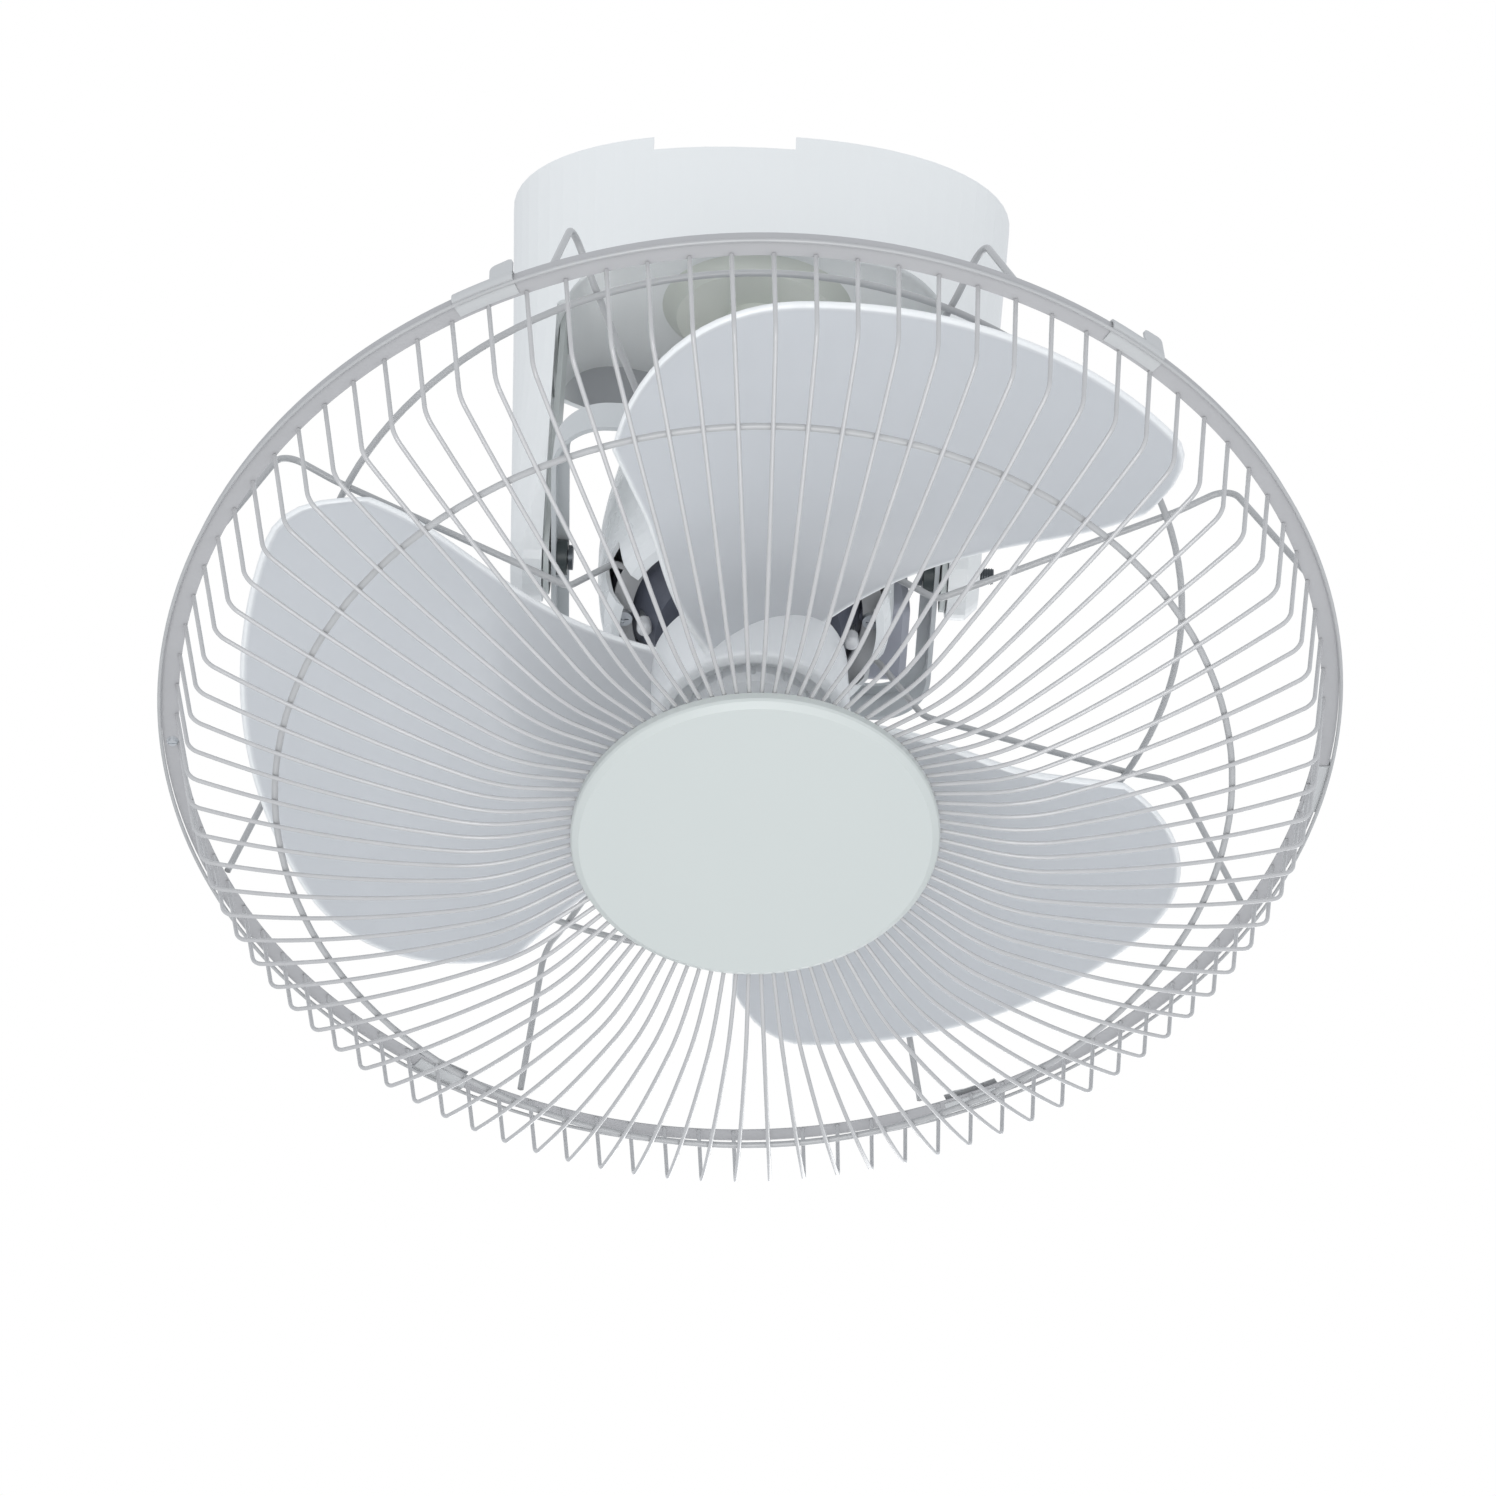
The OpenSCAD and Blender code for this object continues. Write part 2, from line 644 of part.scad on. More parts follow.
module frame_outline(inset) {
    r = frame_round - inset;
    for (x = [-1, 1], y = [-1, 1])
        translate([x * (frame_w / 2 - frame_round), y * (frame_d / 2 - frame_round)]) circle(r = r);
    square([frame_w - 2 * frame_round, frame_d - 2 * inset], center = true);
    square([frame_w - 2 * inset, frame_d - 2 * frame_round], center = true);
}
module gimbal_frame() {
    color(light_grey) frame_pose() difference() {
        union() {
            translate([0, 0, -frame_h / 2]) linear_extrude(frame_h) difference() {
                frame_outline(0);
                frame_outline(frame_t);
            }
            translate([0, 0, frame_h / 2 - frame_t]) linear_extrude(frame_t) difference() {
                frame_outline(0);
                frame_outline(frame_t + frame_flange);
            }
        }
        rotate([0, 90, 0]) translate([0, 0, -frame_w]) cylinder(r = bush_sleeve_r, h = 2 * frame_w);
        rotate([0, 90, 0]) translate([0, 0, -frame_in]) cylinder(r = bush_flange_r + 0.2, h = 2 * frame_in);
        rotate([90, 0, 0]) translate([0, 0, -frame_d]) cylinder(r = swing_pin_r, h = 2 * frame_d);
    }
}
module pivot_bushes() {
    color(black) frame_pose() mirror_pair() translate([frame_in - bush_flange_t, 0, 0]) rotate([0, 90, 0])
        difference() {
            union() {
                cylinder(r = bush_flange_r, h = bush_flange_t);
                cylinder(r = bush_sleeve_r - 0.01, h = bush_flange_t + frame_t + leg_gap - 0.3);
            }
            translate([0, 0, -1]) cylinder(r = pivot_r + run_gap, h = bush_flange_t + frame_t + leg_gap + 2);
        }
}
module swing_pins() {
    color(steel) frame_pose() for (s = [-1, 1]) rotate([0, 0, 90 * s]) rotate([0, 90, 0]) {
        translate([0, 0, trunnion_reach - swing_hold]) cylinder(r = swing_pin_r - 0.01, h = frame_d / 2 - trunnion_reach + swing_hold);
        translate([0, 0, frame_d / 2]) cylinder(r = swing_pin_r + 2.5, h = 2);
    }
}
module swing_bushes() {
    bush_start = stator_r + 0.06;
    color(brass) head_frame() for (s = [-1, 1]) rotate([0, 0, 90 * s]) rotate([0, 90, 0]) difference() {
        translate([0, 0, bush_start]) cylinder(r = swing_pin_r + swing_bush_t, h = trunnion_reach - bush_start);
        translate([0, 0, trunnion_reach - swing_hold - 2]) cylinder(r = swing_pin_r + run_gap, h = swing_hold + 4);
    }
}

// Housing pieces of the motor
module motor_front_shell() {
    color(dark_grey) head_frame() difference() {
        union() {
            rotate_extrude($fn = 96) polygon([
                [0, -motor_front], [motor_face_r, -motor_front], [motor_r, -motor_front + motor_taper],
                [motor_r, shell_z], [0, shell_z]]);
            translate([0, 0, -motor_front - 4]) cylinder(r = bearing_r + 3, h = 5);
            ear_places() translate([0, 0, seat_z]) cylinder(r = 4.5, h = shell_z - seat_z);
        }
        rotate_extrude($fn = 96) polygon([
            [0, -motor_front + motor_wall], [motor_face_r - motor_wall, -motor_front + motor_wall],
            [motor_r - motor_wall, -motor_front + motor_taper + 1], [motor_r - motor_wall, shell_z + 1], [0, shell_z + 1]]);
        translate([0, 0, -motor_front - 5]) cylinder(r = shaft_r + 1, h = 8);
        translate([0, 0, -motor_front - 4 + 1.5]) cylinder(r = bearing_r, h = bearing_w);
        ear_places() translate([0, 0, seat_z - 1]) cylinder(r = tapped_r, h = 12);
        stud_places() translate([0, 0, -motor_front]) cylinder(r = screw_r + 0.1, h = motor_front);
        stud_places() translate([0, 0, -motor_front - 1]) cylinder(r = stud_cap_r + 0.02, h = 7);
    }
}
module ear_places() {
    for (i = [0 : 3]) rotate([0, 0, i * 90]) translate([motor_r + 1.7, 0, 0]) children();
}
module stud_places() {
    for (i = [0 : 3]) rotate([0, 0, i * 90 + 4]) translate([motor_face_r + 4.2, 0, 0]) children();
}
module motor_rear_shell() {
    inside_z = motor_rear - 3;
    color(dark_grey) head_frame() difference() {
        union() {
            difference() {
                translate([0, 0, shell_z]) cylinder(r = motor_r, h = motor_rear - shell_z, $fn = 96);
                translate([0, 0, shell_z - 1])
                    cylinder(r = motor_r - motor_wall, h = inside_z - shell_z + 1, $fn = 96);
            }
            intersection() {
                translate([0, 0, shell_z]) cylinder(r = motor_r - 1, h = motor_rear - shell_z, $fn = 96);
                union() {
                    translate([0, 0, inside_z - bearing_w]) cylinder(r = bearing_r + 3, h = bearing_w + 1);
                    stud_places() translate([0, 0, stator_z + stator_l + winding_l + 1])
                        cylinder(r = 4, h = inside_z - stator_z - stator_l - winding_l);
                }
            }
            for (s = [-1, 1]) rotate([0, 0, 90 * s]) rotate([0, 90, 0])
                translate([0, 0, motor_r - 1]) cylinder(r = trunnion_r, h = trunnion_reach - motor_r + 1);
        }
        translate([0, 0, inside_z - bearing_w - 1]) cylinder(r = bearing_r, h = bearing_w + 1);
        translate([0, 0, 0]) cylinder(r = shaft_r + 1, h = motor_rear + 1);
        for (s = [-1, 1]) rotate([0, 0, 90 * s]) rotate([0, 90, 0])
            translate([0, 0, trunnion_reach - swing_hold - 1]) cylinder(r = swing_pin_r + swing_bush_t + 0.01, h = 30);
        stud_places() translate([0, 0, shell_z - 1]) cylinder(r = tapped_r, h = motor_rear - shell_z - 4);
    }
}
module motor_screws() {
    color(steel) head_frame() stud_places()
        translate([0, 0, -motor_front + 6]) cylinder(r = screw_r, h = motor_front + motor_rear - 13);
}
module stud_caps() {
    color(white) head_frame() stud_places() translate([0, 0, -motor_front + 2]) {
        cylinder(r = stud_cap_r, h = 4 - eps);
        difference() {
            sphere(r = stud_cap_r);
            cylinder(r = stud_cap_r + 1, h = stud_cap_r + 1);
        }
    }
}
module stator_core() {
    color(steel) head_frame() translate([0, 0, stator_z]) difference() {
        cylinder(r = stator_r, h = stator_l, $fn = 96);
        translate([0, 0, -1]) cylinder(r = stator_bore, h = stator_l + 2, $fn = 96);
        around(24) translate([stator_bore + 5, 0, -1]) cylinder(r = 1.8, h = stator_l + 2, $fn = 16);
        around(24) translate([stator_bore + 10, 0, -1]) cylinder(r = 1.8, h = stator_l + 2, $fn = 16);
        stud_places() translate([0, 0, -1]) cylinder(r = screw_r + 0.1, h = stator_l + 2);
    }
}
module stator_windings() {
    color(copper) head_frame() for (z = [stator_z - winding_l, stator_z + stator_l]) translate([0, 0, z])
        rotate_extrude($fn = 96) translate([stator_bore + 2, 0]) difference() {
            square([winding_w, winding_l]);
            for (x = [0, winding_w]) translate([x, z < stator_z ? 0 : winding_l]) circle(r = 2);
        }
}
module bearing(z) {
    color(steel) head_frame() translate([0, 0, z]) difference() {
        cylinder(r = bearing_r - 0.01, h = bearing_w - 0.1);
        translate([0, 0, -1]) cylinder(r = shaft_r + run_gap, h = bearing_w + 2);
        for (zz = [-1, bearing_w - 1.1]) translate([0, 0, zz]) difference() {
            cylinder(r = bearing_r - 1.8, h = 2);
            translate([0, 0, -1]) cylinder(r = shaft_r + 1.8, h = 4);
        }
    }
}
module front_bearing() {
    bearing(-motor_front - 4 + 1.55);
}
module rear_bearing() {
    bearing(motor_rear - 3 - bearing_w + 0.05);
}

// White rear cowl
module cowl_section(inset) {
    rim = -cowl_front - (inset > 0 ? 1 : 0);
    polygon([[0, rim], [cowl_front_r - inset * 0.4, rim], [cowl_front_r + 3.4 - inset, -cowl_front * 0.96],
        [cowl_r - 2.6 - inset, -cowl_front * 0.84], [cowl_r - 1.6 - inset, -cowl_front * 0.72],
        [cowl_r - 0.9 - inset, -cowl_front * 0.6], [cowl_r - 0.2 - inset, -cowl_front * 0.35],
        [cowl_r - inset, -cowl_front * 0.15], [cowl_r - 0.3 - inset, cowl_shoulder * 0.1],
        [cowl_r - 1.2 - inset, cowl_shoulder * 0.36], [cowl_r - 2.9 - inset, cowl_shoulder * 0.62],
        [cowl_shoulder_r - inset, cowl_shoulder], [cowl_shoulder_r - 2.5 - inset, cowl_shoulder + 6 - inset * 0.3],
        [cowl_rear_r - inset * 0.6, cowl_rear - inset], [0, cowl_rear - inset]]);
}
module motor_cowl() {
    color(white) head_frame() difference() {
        rotate_extrude($fn = 96) difference() {
            cowl_section(0);
            cowl_section(cowl_wall);
        }
        around(spoke_count, 180 / spoke_count) translate([motor_r, -window_w / 2, -cowl_front - 1])
            cube([30, window_w, window_l + 1]);
        translate([0, 0, cowl_shoulder]) cylinder(r = gearbox_r + 0.4, h = 30);
        rotate([90, 0, 0]) translate([0, 0, -2 * cowl_r]) cylinder(r = trunnion_r + 0.5, h = 4 * cowl_r);
        lug_places() translate([0, 0, cowl_rear - 5]) cylinder(r = screw_r + hole_gap, h = 10);
        translate([40, 24, -5]) cube([30, 12, 10]);
    }
}
module lug_places() {
    for (i = [0 : 2]) rotate([0, 0, 30 + i * 120]) translate([lug_place_r, 0, 0]) children();
}
module cowl_screws() {
    color(steel) head_frame() lug_places() translate([0, 0, cowl_rear]) screw(9, screw_r, screw_r + 1);
}

// Cover over the capacitor and the wiring on the motor's right
module cover_shape(inset) {
    hull() for (y = [cover_y + 4, cover_y + cover_w - 4], z = [-cover_h / 2 + 4, cover_h / 2 - 4])
        translate([0, y, z]) rotate([0, 90, 0]) {
            cylinder(r = 4 - inset * 0.5, h = cover_reach - 3 - inset, $fn = 32);
            cylinder(r = 1.5, h = cover_reach - inset, $fn = 32);
        }
}
module side_cover() {
    color("#b4b6c4") head_frame() translate([0, 0, -4]) difference() {
        cover_shape(0);
        intersection() {
            cover_shape(cover_wall);
            translate([0, cover_y + cover_wall, -cover_h / 2 + cover_wall])
                cube([2 * cover_reach, cover_w - 2 * cover_wall, cover_h - 2 * cover_wall]);
        }
        translate([0, 0, -cover_h]) cylinder(r = cowl_r + 0.05, h = 2.5 * cover_h, $fn = 96);
    }
}
module capacitor() {
    size = [8.2, cover_w - 18, cover_h - 6];
    color(black) head_frame() translate([cover_reach - cover_wall - size.x - 0.2, cover_y + 14, -4 - size.z / 2]) {
        cube([size.x, size.y, size.z - 3]);
        translate([1, 1, 0]) cube([size.x - 2, size.y - 2, size.z]);
    }
}

// Orbit gearbox behind the motor
module gearbox_housing() {
    color(steel) head_frame() difference() {
        union() {
            translate([0, 0, motor_rear]) cylinder(r = gearbox_r, h = gearbox_rear - motor_rear, $fn = 96);
            lug_places() translate([0, 0, cowl_rear - cowl_wall - 12.05]) {
                cylinder(r = lug_r, h = 12);
                translate([gearbox_r - 1.5 - lug_place_r, -lug_r, 0]) cube([lug_place_r - gearbox_r + 1.5, 2 * lug_r, 12]);
            }
        }
        translate([0, 0, motor_rear + 2]) cylinder(r = gearbox_r - gearbox_wall, h = gearbox_rear, $fn = 96);
        translate([0, 0, motor_rear - 1]) cylinder(r = shaft_r + 1, h = 5);
        lug_places() translate([0, 0, cowl_rear - 11]) cylinder(r = tapped_r, h = 30);
    }
    color(steel) head_frame() difference() {
        union() {
            for (x = [-24, 24]) translate([x - 1.5, spindle_y - 5, motor_rear + 2 - eps])
                cube([3, 10, second_z + 4 - motor_rear]);
            gearbox_screw_places() translate([0, 0, motor_rear + 2 - eps]) cylinder(r = 4, h = gearbox_rear - motor_rear - 2);
        }
        for (z = [worm_z, second_z]) translate([-40, spindle_y, z]) rotate([0, 90, 0])
            cylinder(r = spindle_r + run_gap, h = 80);
        gearbox_screw_places() translate([0, 0, gearbox_rear - 10]) cylinder(r = tapped_r, h = 12);
    }
}
module gearbox_screw_places() {
    for (a = [20, 160, 90]) rotate([0, 0, a]) translate([gearbox_r - gearbox_wall - 3.4, 0, 0]) children();
}
module gearbox_lid() {
    color(steel) head_frame() translate([0, 0, gearbox_rear]) difference() {
        cylinder(r = gearbox_r, h = gearbox_lid, $fn = 96);
        translate([0, 0, -1]) cylinder(r = crank_shaft_r + run_gap, h = gearbox_lid + 2);
        gearbox_screw_places() translate([0, 0, -1]) cylinder(r = screw_r + hole_gap, h = gearbox_lid + 2);
        gearbox_screw_places() translate([0, 0, gearbox_lid - 1.4 + eps]) cylinder(r1 = screw_r + 0.1, r2 = screw_head_r + 0.1, h = 1.4);
    }
}
module gearbox_screws() {
    color(steel) head_frame() gearbox_screw_places() translate([0, 0, gearbox_rear + gearbox_lid])
        mirror([0, 0, 1]) {
            cylinder(r = screw_r, h = 10);
            cylinder(r1 = screw_head_r, r2 = screw_r, h = 1.4);
        }
}

// Toothed disc along +Z
module toothed(tip_r, teeth, width) {
    root = tip_r - tooth_depth;
    pitch = 360 / teeth;
    linear_extrude(width) polygon([for (i = [0 : teeth - 1]) each
        [for (p = [[0.05, root], [0.3, tip_r], [0.55, tip_r], [0.8, root]])
            p[1] * [cos((i + p[0]) * pitch), sin((i + p[0]) * pitch)]]]);
}
// Worm along +Z with the given number of starts, twisting by the given number of whole turns
module worm(outer_r, length, turns, starts, slices) {
    linear_extrude(length, twist = -360 * turns, slices = slices, $fn = 24) polygon([for (i = [0 : 23])
        let (a = i * 15, r = outer_r - tooth_depth * (1 - cos(starts * a)) / 2) [r * cos(a), r * sin(a)]]);
}
module worm_wheel() {
    color(white) head_frame() translate([0, spindle_y, worm_z]) rotate([0, 90, 0]) {
        translate([0, 0, -3]) toothed(wheel_r, wheel_teeth, 6);
        translate([0, 0, 3 - eps]) cylinder(r = 3, h = gear_x - 3 + 2 * eps);
        translate([0, 0, gear_x]) toothed(pinion_r, pinion_teeth, gear_w);
        translate([0, 0, -spindle_l / 2]) cylinder(r = spindle_r, h = spindle_l);
    }
}
module transfer_gear() {
    color(white) head_frame() translate([0, spindle_y, second_z]) rotate([0, 90, 0]) {
        translate([0, 0, gear_x]) toothed(second_z - worm_z - pinion_r - mesh_gap, transfer_teeth, gear_w);
        translate([0, 0, -9]) worm(second_worm_r, 18, 0.5, second_starts, 16);
        translate([0, 0, -spindle_l / 2]) cylinder(r = spindle_r, h = spindle_l);
        translate([0, 0, 9 - eps]) cylinder(r = spindle_r + 1, h = gear_x - 9 + 2 * eps);
    }
}
module crank() {
    ball = crank_ball();
    reach = norm([ball.x, ball.y]);
    color(brass) head_frame() {
        translate([0, 0, second_z - 4]) toothed(crank_r, crank_teeth, 8);
        translate([0, 0, second_z - 4]) cylinder(r = crank_shaft_r, h = crank_z + crank_t - second_z + 4);
        rotate([0, 0, atan2(ball.y, ball.x)]) {
            translate([0, 0, crank_z]) linear_extrude(crank_t) {
                circle(r = crank_shaft_r + 4);
                translate([reach, 0]) circle(r = crank_pin_r + 1.5);
                translate([0, -crank_pin_r - 1.5]) square([reach, 2 * crank_pin_r + 3]);
            }
            translate([reach, 0, crank_z]) cylinder(r = crank_pin_r, h = ball.z - crank_z);
            translate([reach, 0, ball.z]) sphere(r = crank_pin_r);
        }
    }
}
// Centre of the crank pin's round tip in the head's own frame: straight above the pivot at rest
function crank_ball() = crank_reach * [cos(head_tilt) * sin(head_swing), -sin(head_tilt), cos(head_tilt) * cos(head_swing)];

// Rotor
module motor_shaft() {
    worm_start = worm_z - worm_l / 2;
    color(steel) head_frame() difference() {
        union() {
            translate([0, 0, shaft_front]) cylinder(r = shaft_r, h = worm_start - shaft_front + eps);
            translate([0, 0, worm_start]) worm(worm_r, worm_l, 3, 1, 30);
            translate([0, 0, worm_start + worm_l - eps]) cylinder(r = shaft_r - 1, h = 1.5);
        }
        translate([-20, 0, pin_z]) rotate([0, 90, 0]) cylinder(r = pin_r + 0.02, h = 40);
    }
}
module rotor_core() {
    color("#8a7a5c") head_frame() translate([0, 0, stator_z]) difference() {
        cylinder(r = stator_bore - air_gap, h = stator_l, $fn = 96);
        translate([0, 0, -1]) cylinder(r = shaft_r + 0.01, h = stator_l + 2);
    }
}
module drive_pin() {
    color(steel) head_frame() translate([-9, 0, pin_z]) rotate([0, 90, 0]) cylinder(r = pin_r, h = 18);
}
module hub_shape() {
    rear = hub_z + hub_l;
    web = hub_z + recess_l;
    difference() {
        rotate_extrude($fn = 96) polygon([
            [shaft_r + 0.05, web - 3], [spinner_r - 4, web - 3], [spinner_r - 4, web], [recess_r, web],
            [recess_r, hub_z + 1], [recess_r + 1, hub_z], [hub_r - 2, hub_z], [hub_r, hub_z + 2],
            [hub_r, rear], [hub_r - 2.2, rear], [hub_r - 2.2, web + 2], [12, web + 2], [12, web + 12],
            [shaft_r + 0.05, web + 12]]);
        translate([-12.5, 0, pin_z]) rotate([0, 90, 0]) cylinder(r = pin_r + 0.05, h = 25);
    }
}
// Blade surface: u runs from the root to the tip, v from the leading to the trailing edge
function tip_at(v) = blade_tip_r - lead_corner * pow(max(0, 1 - v / 0.12), 2.4)
    - trail_corner * pow(max(0, (v - 0.69) / 0.31), 2.2) - 2.5 * v;
function ease(x) = let (t = min(1, max(0, x))) t * t * (3 - 2 * t);
function lead_angle(r) = lead_sweep * (1 - ease((r - hub_r) / (blade_tip_r * 0.62)));
function trail_angle(r) = blade_span + trail_sweep * (1 - ease((r - hub_r) / (blade_tip_r * 0.4)));
function blade_z(r, v) =
    let (spread = ease((r - hub_r) / (blade_tip_r * 0.36)),
         outer = ease((r - blade_tip_r * 0.52) / (blade_tip_r * 0.47)),
         root_lead = hub_l - 1.5,
         root_trail = hub_front + 4.5,
         lead = root_lead - (root_lead - blade_lead) * outer,
         trail = root_trail - (blade_trail + root_trail) * spread)
    lead + (trail - lead) * v + 4 * blade_camber * (1 - 2 * spread) * v * (1 - v);
function blade_point(u, v, side) =
    let (root = hub_r - 1.2, r = root + (tip_at(v) - root) * u,
         a = lead_angle(r) + (trail_angle(r) - lead_angle(r)) * v)
    [r * cos(a), r * sin(a), -hoop_drop + blade_z(r, v) + side * blade_t / 2];
module blade() {
    nu = 12;
    nv = 16;
    row = nv + 1;
    layer = row * (nu + 1);
    points = [for (side = [-1, 1], i = [0 : nu], j = [0 : nv]) blade_point(i / nu, j / nv, side)];
    function at(s, i, j) = s * layer + i * row + j;
    faces = concat(
        [for (i = [0 : nu - 1], j = [0 : nv - 1], h = [0, 1])
            h == 0 ? [at(0, i, j), at(0, i + 1, j), at(0, i + 1, j + 1)] : [at(0, i, j), at(0, i + 1, j + 1), at(0, i, j + 1)]],
        [for (i = [0 : nu - 1], j = [0 : nv - 1], h = [0, 1])
            h == 0 ? [at(1, i, j), at(1, i + 1, j + 1), at(1, i + 1, j)] : [at(1, i, j), at(1, i, j + 1), at(1, i + 1, j + 1)]],
        [for (i = [0 : nu - 1], j = [0, nv], h = [0, 1]) let (f = j == 0 ? 1 : 0,
            p = at(0, i, j), q = at(0, i + 1, j), s = at(1, i + 1, j), t = at(1, i, j))
            h == 0 ? (f == 1 ? [p, s, q] : [p, q, s]) : (f == 1 ? [p, t, s] : [p, s, t])],
        [for (j = [0 : nv - 1], i = [0, nu], h = [0, 1]) let (f = i == 0 ? 1 : 0,
            p = at(0, i, j), q = at(0, i, j + 1), s = at(1, i, j + 1), t = at(1, i, j))
            h == 0 ? (f == 1 ? [p, q, s] : [p, s, q]) : (f == 1 ? [p, s, t] : [p, t, s])]);
    polyhedron(points, faces);
}
module fan_blades() {
    color(blade_white) head_frame() {
        hub_shape();
        mirror([0, 1, 0]) around(3, blade_start) blade();
    }
}
module spinner_nut() {
    front = hub_z + spinner_in;
    seat = hub_z + recess_l - 3.05;
    color(white) head_frame() difference() {
        rotate_extrude($fn = 96) polygon([
            [0, front], [spinner_r - 6, front], [spinner_r - 2, front + 1], [spinner_r, front + 4],
            [spinner_r, seat + 3], [spinner_r - 3.9, seat + 3], [spinner_r - 3.9, seat],
            [shaft_r + 0.02, seat], [shaft_r + 0.02, shaft_front - 0.05], [0, shaft_front - 0.05]]);
        around(12) translate([spinner_r + 0.6, 0, front - 1]) cylinder(r = 1.2, h = 20, $fn = 20);
    }
}

// Rear guard
function slope(p, q) = atan2(q.y - p.y, q.x - p.x);
seat_p = [spoke_in_r, hoop_drop + spoke_seat_z];
knee_p = [seat_r, hoop_drop + spoke_seat_z];
dip_p = [dip_r, dip_d];
apex_p = [apex_r, apex_d];
rim_p = [hoop_r - hoop_t + 1, hoop_w / 2 + lap + 0.75];
// Wire path through corner points, each corner p bent with radius b
module bent_path(p, q, s, b, r) {
    a = slope(p, q);
    c = slope(q, s);
    turn = (c - a + 540) % 360 - 180;
    side = turn > 0 ? 1 : -1;
    cut = b * tan(abs(turn) / 2);
    from = q - cut * [cos(a), sin(a)];
    centre = from + side * b * [-sin(a), cos(a)];
    bent_wire(centre, b, side > 0 ? a - 90 : c + 90, side > 0 ? c - 90 : a + 90, r);
}
function corner_cut(p, q, s, b) = let (turn = (slope(q, s) - slope(p, q) + 540) % 360 - 180) b * tan(abs(turn) / 2);
function toward(p, q, d) = p + d * (q - p) / norm(q - p);
module spoke() {
    knee_bend = 6;
    knee_cut = corner_cut(seat_p, knee_p, dip_p, knee_bend);
    dip_cut = corner_cut(knee_p, dip_p, apex_p, knee_bend);
    apex_cut = corner_cut(dip_p, apex_p, rim_p, apex_bend);
    wire(seat_p, toward(knee_p, seat_p, knee_cut), spoke_r);
    bent_path(seat_p, knee_p, dip_p, knee_bend, spoke_r);
    wire(toward(knee_p, dip_p, knee_cut), toward(dip_p, knee_p, dip_cut), spoke_r);
    bent_path(knee_p, dip_p, apex_p, knee_bend, spoke_r);
    wire(toward(dip_p, apex_p, dip_cut), toward(apex_p, dip_p, apex_cut), spoke_r);
    bent_path(dip_p, apex_p, rim_p, apex_bend, spoke_r);
    wire(toward(apex_p, rim_p, apex_cut), rim_p, spoke_r);
}
module rear_spokes() {
    color(light_grey) guard_frame() around(spoke_count, 180 / spoke_count) spoke();
}
module rear_ring() {
    along = (rear_ring_r - dip_r) / (apex_r - dip_r);
    spoke_d = dip_d + (apex_d - dip_d) * along;
    lift = (spoke_r + lap_grow + rear_ring_wire_r + 0.02) / cos(slope(dip_p, apex_p));
    color(light_grey) guard_frame() translate([0, 0, spoke_d - lift]) wire_ring(rear_ring_r, rear_ring_wire_r);
}
module guard_mount() {
    color(steel) head_frame() translate([0, 0, seat_z - mount_plate_t]) difference() {
        cylinder(r = mount_plate_r, h = mount_plate_t, $fn = 96);
        translate([0, 0, -1]) cylinder(r = motor_r - 1.5, h = mount_plate_t + 2, $fn = 96);
        ear_places() translate([0, 0, -1]) cylinder(r = screw_r + hole_gap, h = mount_plate_t + 2);
    }
}
module guard_screws() {
    color(steel) head_frame() ear_places() translate([0, 0, seat_z - mount_plate_t]) mirror([0, 0, 1])
        screw(mount_plate_t + 9);
}
module rear_rim() {
    color(light_grey) guard_frame() translate([0, 0, rim_wire_r + 0.05])
        wire_ring(hoop_r - hoop_sheet - rim_wire_r - 0.05, rim_wire_r);
}
module guard_hoop() {
    color(light_grey) guard_frame() difference() {
        rotate_extrude($fn = 240) difference() {
            translate([hoop_r - hoop_t, -hoop_w / 2]) square([hoop_t, hoop_w]);
            translate([hoop_r - hoop_t - 1, -hoop_w / 2 + hoop_sheet])
                square([hoop_t + 1 - hoop_sheet, hoop_w - 2 * hoop_sheet]);
        }
        hoop_screw_place() translate([0, 0, -hoop_w]) cylinder(r = hoop_screw_r + 0.1, h = 2 * hoop_w);
    }
}
module hoop_screw_place() {
    rotate([0, 0, hoop_screw_a]) translate([hoop_screw_place_r, 0, 0]) children();
}
// Screw through both sides of the channel, its head in front and its nut behind
module hoop_screw() {
    seat = hoop_w / 2 + 0.02;
    color(steel) guard_frame() hoop_screw_place() {
        translate([0, 0, -seat]) cylinder(r = hoop_screw_r, h = 2 * seat + 2);
        translate([0, 0, -seat]) mirror([0, 0, 1]) difference() {
            translate([0, 0, -eps]) cylinder(r1 = 2.3, r2 = 1.5, h = 1.3);
            translate([-3, -0.25, 0.8]) cube([6, 0.5, 2]);
        }
        translate([0, 0, seat]) difference() {
            cylinder(r = 2.3, h = 1.6, $fn = 6);
            translate([0, 0, -1]) cylinder(r = hoop_screw_r + 0.02, h = 4);
        }
    }
}
module guard_clip(tab_out) {
    half = clip_l / hoop_r * 90 / PI;
    tab = clip_tab_w / hoop_r * 90 / PI;
    rotate([0, 0, -half]) rotate_extrude(angle = 2 * half, $fn = 240) {
        translate([hoop_r + 0.05, -clip_w / 2]) square([clip_t, clip_w]);
        for (s = [-1, 1]) translate([hoop_r - hoop_t * 0.6, s > 0 ? hoop_w / 2 + 0.05 : -clip_w / 2])
            square([hoop_t * 0.6 + clip_t, clip_w / 2 - hoop_w / 2 - 0.05]);
    }
    rotate([0, 0, half - tab]) rotate_extrude(angle = 2 * tab, $fn = 240)
        translate([hoop_r + clip_t / 2, clip_w / 2 - 1.8]) square([clip_t / 2 + tab_out, 1.8]);
}
module guard_clips() {
    color(light_grey) guard_frame() for (i = [-2 : 2]) rotate([0, 0, clip_start + i * 60])
        guard_clip(i == 0 ? clip_tab_out / 3 : clip_tab_out);
}

